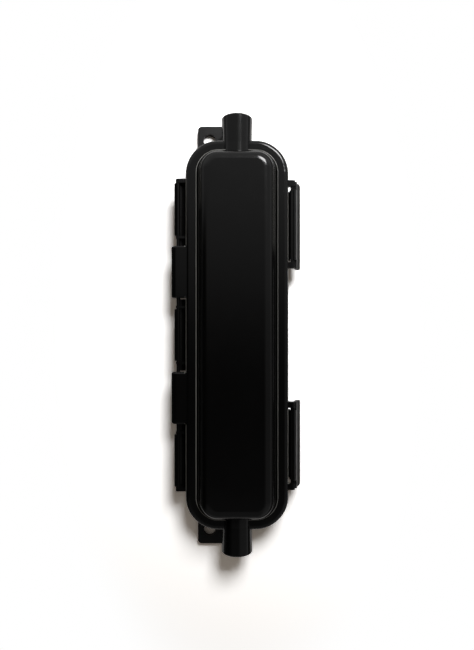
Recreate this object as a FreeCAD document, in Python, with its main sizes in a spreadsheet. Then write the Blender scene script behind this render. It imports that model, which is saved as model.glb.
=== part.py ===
"""Splice protection box: a hinged clamshell that closes over one fibre cable joint.

Millimetres. X runs across the box, Y along the cable, Z up from the wall. The origin is
the middle of the flat back, under the cable. The box is modelled shut, lid up, with both
latches swung a little off their catches.
"""
import FreeCAD, Part
import math
import os

import Sketcher

doc = FreeCAD.newDocument("splice_protection_box")
sheet = doc.addObject("Spreadsheet::Sheet", "dims")

DIMENSIONS = (
    # Rims of the two shells
    ("flange_width", "40.8"),
    ("flange_length", "154.2"),
    ("flange_radius", "13.2"),
    ("flange_edge_radius", "1.8"),
    ("rim_overlap", "0.2"),
    ("lid_flange_thickness", "3.2"),
    ("base_flange_thickness", "3.0"),
    ("parting_height", "11.5"),
    ("parting_gap", "0.1"),
    # Domed lid and tub
    ("foot_margin", "4.7"),
    ("foot_fillet", "0.8"),
    ("ledge_width", "0.6"),
    ("ledge_height", "0.5"),
    ("ledge_edge_radius", "0.3"),
    ("dome_height", "7.8"),
    ("dome_draft", "17"),
    ("dome_edge_radius", "4.2"),
    ("tub_draft", "8"),
    ("tub_edge_radius", "1.2"),
    ("wall", "2.0"),
    ("roof_thickness", "2.0"),
    ("floor_thickness", "2.0"),
    # Cable ports and their seals
    ("port_diameter", "11.8"),
    ("port_flare", "0.5"),
    ("port_reach", "9.3"),
    ("port_wall", "1.4"),
    ("port_lip", "1.5"),
    ("port_lip_depth", "0.9"),
    ("port_chamfer", "0.4"),
    ("cable_bore", "5.2"),
    ("seal_clearance", "0.3"),
    ("seal_rib", "2.6"),
    ("seal_groove_depth", "0.5"),
    # Rim gasket
    ("gasket_width", "2.4"),
    ("gasket_depth", "1.8"),
    ("gasket_side_gap", "0.1"),
    ("gasket_top_gap", "0.05"),
    # Wall lugs
    ("lug_offset", "11.5"),
    ("lug_width", "9.6"),
    ("lug_inner_reach", "6.6"),
    ("lug_thickness", "2.5"),
    ("lug_hole_diameter", "5.0"),
    ("lug_hole_reach", "4.4"),
    ("lug_end_margin", "5.6"),
    ("lug_corner_radius", "1.6"),
    # Hinge along the left rim
    ("hinge_offset", "3.1"),
    ("hinge_end_margin", "1.6"),
    ("hinge_rod_diameter", "1.5"),
    ("hinge_clearance", "0.06"),
    ("hinge_web_wall", "0.25"),
    ("hinge_clip_wall", "0.75"),
    ("hinge_clip_end_gap", "0.35"),
    ("hinge_clip_mouth", "130"),
    ("hinge_clip_drop", "0.5"),
    ("hinge_plate_inset", "0.15"),
    ("hinge_plate_thickness", "0.7"),
    ("hinge_plate_gap", "0.3"),
    ("hinge_plate_end_gap", "0.25"),
    ("hinge_end_web", "1.6"),
    ("hinge_web_width", "0.9"),
    ("knuckle_gap", "4.4"),
    ("knuckle_clearance", "0.4"),
    ("knuckle_edge_radius", "0.7"),
    # Latches along the right rim
    ("latch_offset", "1.6"),
    ("latch_length", "34.8"),
    ("latch_end_margin", "2.7"),
    ("latch_ear_width", "2.4"),
    ("latch_ear_inset", "0.55"),
    ("latch_rod_diameter", "1.6"),
    ("latch_rod_flat", "0.45"),
    ("latch_clearance", "0.06"),
    ("latch_clip_wall", "0.6"),
    ("latch_clip_end_gap", "1.2"),
    ("latch_mouth_outer", "55"),
    ("latch_mouth_inner", "205"),
    ("latch_plate_thickness", "1.1"),
    ("latch_plate_reach", "6.8"),
    ("latch_lip_height", "2.2"),
    ("latch_lip_flare", "0.8"),
    ("latch_corner_radius", "1.2"),
    ("latch_ear_gap", "0.4"),
    ("latch_hook_gap", "0.15"),
    ("latch_hook_height", "1.2"),
    ("latch_hook_lead", "0.4"),
    ("latch_hook_bite", "0.8"),
    ("latch_rest_angle", "14"),
    ("catch_depth", "1.1"),
    ("catch_height", "1.4"),
    # Ribs that steer the lid onto the tub
    ("guide_rib_width", "1.2"),
    ("guide_rib_depth", "1.5"),
    ("guide_rib_gap", "0.25"),
    ("guide_rib_root", "1.6"),
    ("guide_rib_margin", "8.0"),
    # Cable clamps
    ("clamp_inset", "12.8"),
    ("clamp_width", "7.0"),
    ("clamp_thickness", "1.5"),
    ("clamp_length", "24.0"),
    ("clamp_drop", "2.0"),
    ("clamp_bore", "5.4"),
    ("clamp_screw_spacing", "17.0"),
    ("clamp_boss_diameter", "5.6"),
    # Screws
    ("screw_shank_diameter", "2.2"),
    ("screw_pilot_gap", "0.05"),
    ("screw_hole_gap", "0.3"),
    ("screw_head_diameter", "4.6"),
    ("screw_head_height", "1.6"),
    ("screw_head_dome", "0.6"),
    ("clamp_screw_length", "7.0"),
    ("holder_screw_length", "4.2"),
    ("screw_tip_gap", "0.4"),
    # Splice holder
    ("holder_length", "74.0"),
    ("holder_width", "21.0"),
    ("holder_corner_radius", "2.0"),
    ("holder_thickness", "1.5"),
    ("holder_boss_height", "2.0"),
    ("holder_boss_diameter", "5.2"),
    ("holder_screw_inset", "4.0"),
    ("fin_count", "5"),
    ("fin_pitch", "4.2"),
    ("fin_thickness", "1.2"),
    ("fin_height", "5.5"),
    ("fin_bead", "0.25"),
    ("fin_bead_height", "1.2"),
    ("fin_length", "9.0"),
    ("fin_station", "17.0"),
)

for row, (alias, text) in enumerate(DIMENSIONS, start=1):
    sheet.set(f"A{row}", alias)
    sheet.set(f"B{row}", text)
    sheet.setAlias(f"B{row}", alias)
doc.recompute()

# Sizes that follow from the driving ones, as expressions on the sheet.
flange_x = "(dims.flange_width / 2)"
flange_y = "(dims.flange_length / 2)"
foot_x = f"({flange_x} - dims.foot_margin)"
foot_y = f"({flange_y} - dims.foot_margin)"
foot_radius = "(dims.flange_radius - dims.foot_margin)"
cavity_x = f"({foot_x} - dims.wall)"
cavity_y = f"({foot_y} - dims.wall)"
cavity_radius = f"({foot_radius} - dims.wall)"
ledge_x = f"({foot_x} + dims.ledge_width)"
ledge_y = f"({foot_y} + dims.ledge_width)"
ledge_radius = f"({foot_radius} + dims.ledge_width)"
straight_y = f"({flange_y} - dims.flange_radius)"

parting = "dims.parting_height"
lid_under = "(dims.parting_height + dims.parting_gap)"
lid_rim_top = "(dims.parting_height + dims.lid_flange_thickness)"
lid_top = f"({lid_rim_top} + dims.dome_height)"
tub_top = "(dims.parting_height - dims.base_flange_thickness)"

port_end = f"({flange_y} + dims.port_reach)"
port_root = f"({cavity_y} + dims.wall / 2)"
port_radius = "(dims.port_diameter / 2)"
mouth_radius = f"({port_radius} + dims.port_flare / 2)"
seat_radius = f"({port_radius} - dims.port_wall)"
lip_radius = f"({seat_radius} - dims.port_lip_depth)"
seat_start = f"({cavity_y} + dims.port_lip)"
seat_end = f"({port_end} - dims.port_lip)"
seal_length = f"({seat_end} - {seat_start} - 2 * dims.seal_clearance)"
seal_radius = f"({seat_radius} - dims.seal_clearance)"

gasket_x = f"(({cavity_x} + {flange_x}) / 2)"
gasket_y = f"(({cavity_y} + {flange_y}) / 2)"
gasket_radius = f"(dims.flange_radius - {flange_x} + {gasket_x})"

lug_hole_y = f"({flange_y} + dims.lug_hole_reach)"
lug_end = f"({lug_hole_y} + dims.lug_end_margin)"
lug_root = straight_y

hinge_x = f"(-{flange_x} - dims.hinge_offset)"
hinge_half = f"({straight_y} - dims.hinge_end_margin)"
hinge_pitch = (
    f"(({hinge_half} + dims.knuckle_gap / 2 - dims.hinge_clip_end_gap"
    " - dims.hinge_end_web) / 2.5)"
)
hinge_module = f"({hinge_pitch} - dims.knuckle_gap)"
hinge_window = f"({hinge_module} + 2 * dims.hinge_clip_end_gap)"
hinge_rod_radius = "(dims.hinge_rod_diameter / 2)"
hinge_clip_bore = f"({hinge_rod_radius} + dims.hinge_clearance)"
hinge_clip_radius = f"({hinge_clip_bore} + dims.hinge_clip_wall)"
hinge_web_radius = f"({hinge_rod_radius} + dims.hinge_web_wall)"
hinge_plate_low = "(dims.base_flange_thickness - dims.hinge_plate_inset)"
hinge_plate_top = f"({hinge_web_radius} + dims.hinge_plate_gap)"
knuckle_radius = "(dims.hinge_offset - dims.knuckle_clearance)"
rim_bite = "(dims.flange_edge_radius + dims.rim_overlap)"
base_bite = "(dims.foot_fillet + dims.rim_overlap)"

latch_x = f"({flange_x} + dims.latch_offset)"
latch_y = f"({straight_y} - dims.latch_end_margin - dims.latch_length / 2)"
latch_rise = "(dims.lid_flange_thickness / 2)"
latch_ear_radius = f"({latch_rise} - dims.latch_ear_inset)"
latch_ear_shift = "((dims.latch_length - dims.latch_ear_width) / 2)"
latch_window = "(dims.latch_length - 2 * dims.latch_ear_width)"
latch_clip_length = f"({latch_window} - 2 * dims.latch_clip_end_gap)"
latch_clip_bore = "(dims.latch_rod_diameter / 2 + dims.latch_clearance)"
latch_clip_radius = f"({latch_clip_bore} + dims.latch_clip_wall)"
latch_plate_inner = f"({latch_clip_radius} - dims.latch_plate_thickness)"
latch_plate_top = f"(-{latch_ear_radius} - dims.latch_ear_gap)"
latch_lip_top = "(dims.latch_lip_height - dims.latch_plate_reach)"
latch_hook_top = f"(-{latch_rise} - dims.base_flange_thickness - dims.latch_hook_gap)"
latch_hook_tip = "(dims.catch_depth - dims.latch_offset - dims.latch_hook_bite)"

clamp_y = f"({cavity_y} - dims.clamp_inset)"
clamp_seat = "(dims.parting_height - dims.clamp_drop)"
clamp_screw_x = "(dims.clamp_screw_spacing / 2)"
pilot_radius = "(dims.screw_shank_diameter / 2 + dims.screw_pilot_gap)"
screw_hole_radius = "(dims.screw_shank_diameter / 2 + dims.screw_hole_gap)"
clamp_pilot_depth = (
    "(dims.clamp_screw_length - dims.clamp_thickness + dims.screw_tip_gap)"
)

holder_seat = "(dims.floor_thickness + dims.holder_boss_height)"
holder_top = f"({holder_seat} + dims.holder_thickness)"
holder_screw_y = "(dims.holder_length / 2 - dims.holder_screw_inset)"
holder_pilot_depth = (
    "(dims.holder_screw_length - dims.holder_thickness + dims.screw_tip_gap)"
)

subparts = []


def value(expression):
    """The present value of an expression on the sheet."""
    return float(sheet.evalExpression(expression))


def new_body(name):
    """A sub-part: a body whose label names its file."""
    body = doc.addObject("PartDesign::Body", name)
    body.Label = name
    subparts.append(body)
    return body


def place(body, x="0", y="0", z="0"):
    """Put a body's own origin at a bound place."""
    for axis, expression in zip("xyz", (x, y, z)):
        body.setExpression(f"Placement.Base.{axis}", expression)


def origin_feature(body, role):
    """One of the body's own origin planes or axes."""
    return next(f for f in body.Origin.OriginFeatures if f.Role == role)


def sketch_on(body, name, role, x="0", y="0", z="0"):
    """A sketch on an origin plane, its own origin shifted by x and y in it, z off it."""
    sketch = body.newObject("Sketcher::SketchObject", name)
    sketch.AttachmentSupport = (origin_feature(body, role), [""])
    sketch.MapMode = "FlatFace"
    for axis, expression in zip("xyz", (x, y, z)):
        sketch.setExpression(f"AttachmentOffset.Base.{axis}", expression)
    return sketch


def bind(sketch, constraint, expression):
    """Add a dimension and tie it to an expression."""
    index = sketch.addConstraint(constraint)
    sketch.setExpression(f"Constraints[{index}]", expression)


def relate(sketch, kind, *references):
    """Add a constraint that has no size."""
    sketch.addConstraint(Sketcher.Constraint(kind, *references))


def locate(sketch, geometry, point, x=None, y=None):
    """Tie a point to the sketch's origin across, up, or both."""
    for kind, axis, expression in (("DistanceX", -2, x), ("DistanceY", -1, y)):
        if expression == "0":
            relate(sketch, "PointOnObject", geometry, point, axis)
        elif expression is not None:
            size = value(expression)
            dimension = Sketcher.Constraint(kind, -1, 1, geometry, point, size)
            bind(sketch, dimension, expression)


def line(start, end):
    return Part.LineSegment(FreeCAD.Vector(*start, 0), FreeCAD.Vector(*end, 0))


def arc(centre, radius, start, end):
    """A counter-clockwise arc between two angles in degrees."""
    circle = Part.Circle(FreeCAD.Vector(*centre, 0), FreeCAD.Vector(0, 0, 1), radius)
    return Part.ArcOfCircle(circle, math.radians(start), math.radians(end))


def polar(radius, angle):
    return (
        radius * math.cos(math.radians(angle)),
        radius * math.sin(math.radians(angle)),
    )


def join(sketch, chain):
    """Make the edges of a closed chain meet, each given as (geometry, start, end)."""
    for (first, _, end), (second, start, _) in zip(chain, chain[1:] + chain[:1]):
        relate(sketch, "Coincident", first, end, second, start)


def polygon(sketch, corners):
    """A closed outline of straight edges whose corners are bound expressions."""
    points = [(value(x), value(y)) for x, y in corners]
    edges = [line(a, b) for a, b in zip(points, points[1:] + points[:1])]
    ids = sketch.addGeometry(edges)
    join(sketch, [(edge, 1, 2) for edge in ids])
    for edge, (x, y) in zip(ids, corners):
        locate(sketch, edge, 1, x, y)


def rectangle(sketch, x_low, x_high, y_low, y_high):
    """An upright rectangle between bound limits."""
    xa, xb, ya, yb = (value(limit) for limit in (x_low, x_high, y_low, y_high))
    corners = [(xa, ya), (xb, ya), (xb, yb), (xa, yb)]
    edges = [line(a, b) for a, b in zip(corners, corners[1:] + corners[:1])]
    ids = sketch.addGeometry(edges)
    join(sketch, [(edge, 1, 2) for edge in ids])
    for edge, kind in zip(ids, ("Horizontal", "Vertical", "Horizontal", "Vertical")):
        relate(sketch, kind, edge)
    locate(sketch, ids[0], 1, x_low, y_low)
    locate(sketch, ids[2], 1, x_high, y_high)


def rounded_rectangle(sketch, half_x, half_y, radius, middle_x="0", middle_y="0"):
    """A rectangle with round corners about a middle, drawn counter-clockwise."""
    hx, hy, r = value(half_x), value(half_y), value(radius)
    mx, my = value(middle_x), value(middle_y)
    right, left, high, low = mx + hx, mx - hx, my + hy, my - hy
    ids = sketch.addGeometry([
        line((right, low + r), (right, high - r)),
        arc((right - r, high - r), r, 0, 90),
        line((right - r, high), (left + r, high)),
        arc((left + r, high - r), r, 90, 180),
        line((left, high - r), (left, low + r)),
        arc((left + r, low + r), r, 180, 270),
        line((left + r, low), (right - r, low)),
        arc((right - r, low + r), r, 270, 360),
    ])
    for first, second in zip(ids, ids[1:] + ids[:1]):
        relate(sketch, "Tangent", first, 2, second, 1)
    for edge, kind in zip(ids[::2], ("Vertical", "Horizontal") * 2):
        relate(sketch, kind, edge)
    for corner in ids[3::2]:
        relate(sketch, "Equal", ids[1], corner)
    bind(sketch, Sketcher.Constraint("Radius", ids[1], r), radius)
    locate(sketch, ids[0], 1, x=f"{middle_x} + {half_x}")
    locate(sketch, ids[2], 1, y=f"{middle_y} + {half_y}")
    locate(sketch, ids[4], 1, x=f"{middle_x} - {half_x}")
    locate(sketch, ids[6], 1, y=f"{middle_y} - {half_y}")


def circle(sketch, radius, x="0", y="0"):
    """A circle of bound radius about a bound centre."""
    r = value(radius)
    centre = FreeCAD.Vector(value(x), value(y), 0)
    ring = sketch.addGeometry(Part.Circle(centre, FreeCAD.Vector(0, 0, 1), r))
    bind(sketch, Sketcher.Constraint("Radius", ring, r), radius)
    locate(sketch, ring, 3, x, y)


def centred_arc(sketch, edge, radius):
    """Hold an arc on the sketch's origin at a bound radius."""
    relate(sketch, "Coincident", edge, 3, -1, 1)
    bind(sketch, Sketcher.Constraint("Radius", edge, value(radius)), radius)


def radial_edge(sketch, edge, angle):
    """Hold a straight edge on the ray from the origin at a bound angle."""
    relate(sketch, "PointOnObject", -1, 1, edge)
    size = math.radians(value(angle))
    bind(sketch, Sketcher.Constraint("Angle", edge, size), angle)


def settle(body, feature, change):
    """Recompute, and see that a feature added to or took from the body."""
    before = body.BaseVolume if hasattr(body, "BaseVolume") else 0.0
    doc.recompute()
    after = body.Shape.Volume
    if feature.State and ("Invalid" in feature.State or "Error" in feature.State):
        raise RuntimeError(f"{feature.Label} failed: {feature.State}")
    if change * (after - before) <= 1e-6:
        raise RuntimeError(f"{feature.Label} left the body as it was")
    if not hasattr(body, "BaseVolume"):
        body.addProperty("App::PropertyFloat", "BaseVolume")
    body.BaseVolume = after
    return feature


def pad(body, name, sketch, length, taper=None, downward=False, symmetric=False):
    feature = body.newObject("PartDesign::Pad", name)
    feature.Profile = sketch
    feature.Reversed = downward
    if symmetric:
        feature.SideType = "Symmetric"
    feature.setExpression("Length", length)
    if taper:
        feature.setExpression("TaperAngle", taper)
    return settle(body, feature, 1)


def pocket(body, name, sketch, length, taper=None, upward=False, symmetric=False):
    feature = body.newObject("PartDesign::Pocket", name)
    feature.Profile = sketch
    feature.Reversed = upward
    if symmetric:
        feature.SideType = "Symmetric"
    feature.setExpression("Length", length)
    if taper:
        feature.setExpression("TaperAngle", taper)
    return settle(body, feature, -1)


def turn(body, kind, name, sketch, angle, axis):
    """A Revolution or Groove about one of its sketch's axes."""
    feature = body.newObject(f"PartDesign::{kind}", name)
    feature.Profile = sketch
    feature.ReferenceAxis = (sketch, [axis])
    feature.Angle = angle
    feature.Midplane = angle < 360
    return settle(body, feature, 1 if kind == "Revolution" else -1)


def mirror(body, name, originals, change=1):
    """Repeat features on the other side of the box's middle, along the cable."""
    feature = body.newObject("PartDesign::Mirrored", name)
    feature.Originals = originals
    feature.MirrorPlane = (origin_feature(body, "XZ_Plane"), [""])
    body.Tip = feature
    return settle(body, feature, change)


def repeat(body, name, originals, role, length, count):
    """Repeat features evenly along an origin axis over a bound length."""
    feature = body.newObject("PartDesign::LinearPattern", name)
    feature.Originals = originals
    feature.Direction = (origin_feature(body, role), [""])
    feature.setExpression("Length", length)
    feature.setExpression("Occurrences", count)
    body.Tip = feature
    return settle(body, feature, 1)


def fillet(body, name, edges, radius):
    """Round named edges of the body's last feature."""
    base = body.Tip
    feature = body.newObject("PartDesign::Fillet", name)
    feature.Base = (base, edges)
    feature.setExpression("Radius", radius)
    doc.recompute()
    body.BaseVolume = body.Shape.Volume
    return feature


def edges_at(body, height):
    """Names of the edges that lie at one height."""
    level = value(height)
    return [
        f"Edge{number}"
        for number, edge in enumerate(body.Tip.Shape.Edges, start=1)
        if all(abs(point.z - level) < 1e-4 for point in edge.discretize(5))
    ]


def edges_across_end(body, height):
    """Names of the edges at one height that run across the body, off its long sides."""
    return [
        name
        for name in edges_at(body, height)
        if body.Tip.Shape.getElement(name).BoundBox.YLength < 1e-4
    ]


def edges_along(body, outline):
    """Names of the edges that lie on a sketch's outline."""
    return [
        f"Edge{number}"
        for number, edge in enumerate(body.Tip.Shape.Edges, start=1)
        if all(
            outline.Shape.distToShape(Part.Vertex(point))[0] < 1e-4
            for point in edge.discretize(5)
        )
    ]


def port_outline(sketch, side):
    """Half sections of both port tubes above (side 1) or below (side -1) the cable."""
    for end in (1, -1):
        corners = (
            (port_root, "0"),
            (port_end, "0"),
            (port_end, f"({mouth_radius} - dims.port_chamfer)"),
            (f"({port_end} - dims.port_chamfer)", mouth_radius),
            (f"({flange_y} - dims.flange_edge_radius)", port_radius),
            (port_root, port_radius),
        )
        polygon(sketch, [
            (f"{end} * {y}", z if z == "0" else f"{side} * {z}") for y, z in corners
        ])


def seat_outline(sketch):
    """Half sections of the stepped bore that holds the seal of each port."""
    for end in (1, -1):
        inside = f"({cavity_y} - dims.wall)"
        outside = f"({port_end} + dims.port_lip)"
        corners = (
            (inside, "0"),
            (outside, "0"),
            (outside, lip_radius),
            (seat_end, lip_radius),
            (seat_end, seat_radius),
            (seat_start, seat_radius),
            (seat_start, lip_radius),
            (inside, lip_radius),
        )
        polygon(sketch, [(f"{end} * {y}", z) for y, z in corners])


def knuckle_outline(sketch, radius):
    """A barrel on the hinge axis with a slab that reaches into the lid's rim."""
    r, gap = value(radius), value("dims.parting_gap")
    reach = f"(dims.hinge_offset + {rim_bite})"
    far = value(reach)
    low = math.degrees(math.asin(gap / r))
    foot = polar(r, low)
    barrel, under, end, top = sketch.addGeometry([
        arc((0, 0), r, 90, 360 + low),
        line(foot, (far, gap)),
        line((far, gap), (far, r)),
        line((far, r), (0, r)),
    ])
    centred_arc(sketch, barrel, radius)
    join(sketch, [(edge, 1, 2) for edge in (barrel, under, end, top)])
    locate(sketch, barrel, 1, x="0")
    locate(sketch, barrel, 2, y="dims.parting_gap")
    relate(sketch, "Horizontal", under)
    relate(sketch, "Vertical", end)
    relate(sketch, "Horizontal", top)
    locate(sketch, under, 2, x=reach)


def corner_waste(sketch, x, y, across, up, radius):
    """What a round leaves to cut away at a square corner; across and up point inwards."""
    cx, cy, r = value(x), value(y), value(radius)
    side = (cx, cy + up * r)
    level = (cx + across * r, cy)
    hub = FreeCAD.Vector(cx + across * r, cy + up * r, 0)
    knee = hub - FreeCAD.Vector(across, up, 0) * (r / math.sqrt(2))
    ids = sketch.addGeometry([
        line(side, (cx, cy)),
        line((cx, cy), level),
        Part.Arc(
            FreeCAD.Vector(*level, 0), knee, FreeCAD.Vector(*side, 0)
        ),
    ])
    upright, flat, bow = ids
    counter_clockwise = across * up < 0
    start, end = (1, 2) if counter_clockwise else (2, 1)
    relate(sketch, "Coincident", upright, 2, flat, 1)
    relate(sketch, "Tangent", flat, 2, bow, start)
    relate(sketch, "Tangent", bow, end, upright, 1)
    relate(sketch, "Vertical", upright)
    relate(sketch, "Horizontal", flat)
    locate(sketch, flat, 1, x, y)
    bind(sketch, Sketcher.Constraint("Radius", bow, r), radius)


def hinge_clip_outline(sketch):
    """An open hook round the hinge rod, rooted in the plate below it."""
    outer, bore = value(hinge_clip_radius), value(hinge_clip_bore)
    mouth, drop = value("dims.hinge_clip_mouth"), value("dims.hinge_clip_drop")
    root = f"-({hinge_plate_top} + dims.hinge_plate_thickness / 2)"
    low = -math.degrees(math.asin(drop / bore))
    tip = polar(bore, low)
    foot = (tip[0], value(root))
    back, sole, heel, throat, lip = sketch.addGeometry([
        arc((0, 0), outer, mouth, 270),
        line((0, -outer), foot),
        line(foot, tip),
        arc((0, 0), bore, mouth, 360 + low),
        line(polar(bore, mouth), polar(outer, mouth)),
    ])
    centred_arc(sketch, back, hinge_clip_radius)
    centred_arc(sketch, throat, hinge_clip_bore)
    join(sketch, [(back, 1, 2), (sole, 1, 2), (heel, 1, 2), (throat, 2, 1), (lip, 1, 2)])
    radial_edge(sketch, lip, "dims.hinge_clip_mouth")
    locate(sketch, back, 2, x="0")
    relate(sketch, "Vertical", heel)
    locate(sketch, heel, 1, y=root)
    locate(sketch, throat, 2, y="-dims.hinge_clip_drop")


def hinge_plate_outline(sketch):
    """A plate low under the rod: level below the clips, then falling to the tub's rim."""
    reach = f"(dims.hinge_offset + {base_bite})"
    polygon(sketch, [
        (hinge_rod_radius, f"-{hinge_plate_top}"),
        ("-dims.hinge_clip_wall", f"-{hinge_plate_top}"),
        ("-dims.hinge_clip_wall", f"-{hinge_plate_top} - dims.hinge_plate_thickness"),
        (reach, f"-{hinge_plate_low}"),
        (reach, f"-{hinge_plate_low} + dims.hinge_plate_thickness"),
        ("dims.hinge_offset", f"-{hinge_plate_low} + dims.hinge_plate_thickness"),
    ])


def flat_rod_outline(sketch, radius, flat):
    """A round rod with a flat along its top."""
    r, top = value(radius), value(flat)
    rise = math.degrees(math.asin(top / r))
    edge = polar(r, rise)
    bow, chord = sketch.addGeometry([
        arc((0, 0), r, 180 - rise, 360 + rise),
        line(edge, (-edge[0], edge[1])),
    ])
    centred_arc(sketch, bow, radius)
    join(sketch, [(bow, 1, 2), (chord, 1, 2)])
    locate(sketch, bow, 1, y=flat)
    locate(sketch, bow, 2, y=flat)


def ear_outline(sketch):
    """A round-ended lug about the latch axis that reaches back into the lid's rim."""
    r = value(latch_ear_radius)
    reach = f"(dims.latch_offset + {rim_bite})"
    far = value(reach)
    nose, top, end, under = sketch.addGeometry([
        arc((0, 0), r, -90, 90),
        line((0, r), (-far, r)),
        line((-far, r), (-far, -r)),
        line((-far, -r), (0, -r)),
    ])
    centred_arc(sketch, nose, latch_ear_radius)
    join(sketch, [(edge, 1, 2) for edge in (nose, top, end, under)])
    locate(sketch, nose, 2, x="0")
    locate(sketch, nose, 1, x="0")
    relate(sketch, "Horizontal", top)
    relate(sketch, "Vertical", end)
    relate(sketch, "Horizontal", under)
    locate(sketch, end, 1, x=f"-{reach}")


def latch_clip_outline(sketch):
    """The latch's open hook about its rod, with a neck down to the plate."""
    outer, bore = value(latch_clip_radius), value(latch_clip_bore)
    inner, top = value(latch_plate_inner), value(latch_plate_top)
    mouth_a, mouth_b = value("dims.latch_mouth_outer"), value("dims.latch_mouth_inner")
    neck = -math.degrees(math.acos(inner / outer))
    root = f"({latch_plate_top} - dims.latch_ear_gap)"
    low = value(root)
    front, face, sole, side, back, lip_b, throat, lip_a = sketch.addGeometry([
        arc((0, 0), outer, 0, mouth_a),
        line((outer, 0), (outer, low)),
        line((outer, low), (inner, low)),
        line((inner, low), polar(outer, neck)),
        arc((0, 0), outer, mouth_b, 360 + neck),
        line(polar(bore, mouth_b), polar(outer, mouth_b)),
        arc((0, 0), bore, mouth_b, 360 + mouth_a),
        line(polar(bore, mouth_a), polar(outer, mouth_a)),
    ])
    centred_arc(sketch, front, latch_clip_radius)
    centred_arc(sketch, back, latch_clip_radius)
    centred_arc(sketch, throat, latch_clip_bore)
    join(sketch, [
        (front, 2, 1), (face, 1, 2), (sole, 1, 2), (side, 1, 2),
        (back, 2, 1), (lip_b, 2, 1), (throat, 1, 2), (lip_a, 1, 2),
    ])
    locate(sketch, front, 1, y="0")
    locate(sketch, back, 2, x=latch_plate_inner)
    relate(sketch, "Vertical", face)
    relate(sketch, "Horizontal", sole)
    relate(sketch, "Vertical", side)
    locate(sketch, face, 2, y=root)
    radial_edge(sketch, lip_a, "dims.latch_mouth_outer")
    radial_edge(sketch, lip_b, "dims.latch_mouth_inner")


def clamp_outline(sketch):
    """A strip bent over the cable: two flat feet and an arch."""
    bore = "(dims.clamp_bore / 2)"
    crown = f"({bore} + dims.clamp_thickness)"
    r, big = value(bore), value(crown)
    drop, thick = value("dims.clamp_drop"), value("dims.clamp_thickness")
    half = value("dims.clamp_length / 2")
    rise = math.degrees(math.asin((thick - drop) / big))
    knee = polar(big, rise)
    ids = sketch.addGeometry([
        arc((0, 0), big, rise, 180 - rise),
        line((-knee[0], knee[1]), (-half, knee[1])),
        line((-half, knee[1]), (-half, -drop)),
        line((-half, -drop), (-r, -drop)),
        line((-r, -drop), (-r, 0)),
        arc((0, 0), r, 0, 180),
        line((r, 0), (r, -drop)),
        line((r, -drop), (half, -drop)),
        line((half, -drop), (half, knee[1])),
        line((half, knee[1]), knee),
    ])
    arch, left_top, left_end, left_sole, left_leg, throat = ids[:6]
    right_leg, right_sole, right_end, right_top = ids[6:]
    centred_arc(sketch, arch, crown)
    centred_arc(sketch, throat, bore)
    chain = [(edge, 1, 2) for edge in ids]
    chain[5] = (throat, 2, 1)
    join(sketch, chain)
    for edge in (left_top, left_sole, right_sole, right_top):
        relate(sketch, "Horizontal", edge)
    for edge in (left_end, left_leg, right_leg, right_end):
        relate(sketch, "Vertical", edge)
    foot_top = "(dims.clamp_thickness - dims.clamp_drop)"
    locate(sketch, throat, 1, y="0")
    locate(sketch, throat, 2, y="0")
    locate(sketch, arch, 1, y=foot_top)
    locate(sketch, arch, 2, y=foot_top)
    locate(sketch, left_end, 2, x="-dims.clamp_length / 2", y="-dims.clamp_drop")
    locate(sketch, right_end, 1, x="dims.clamp_length / 2", y="-dims.clamp_drop")


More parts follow.
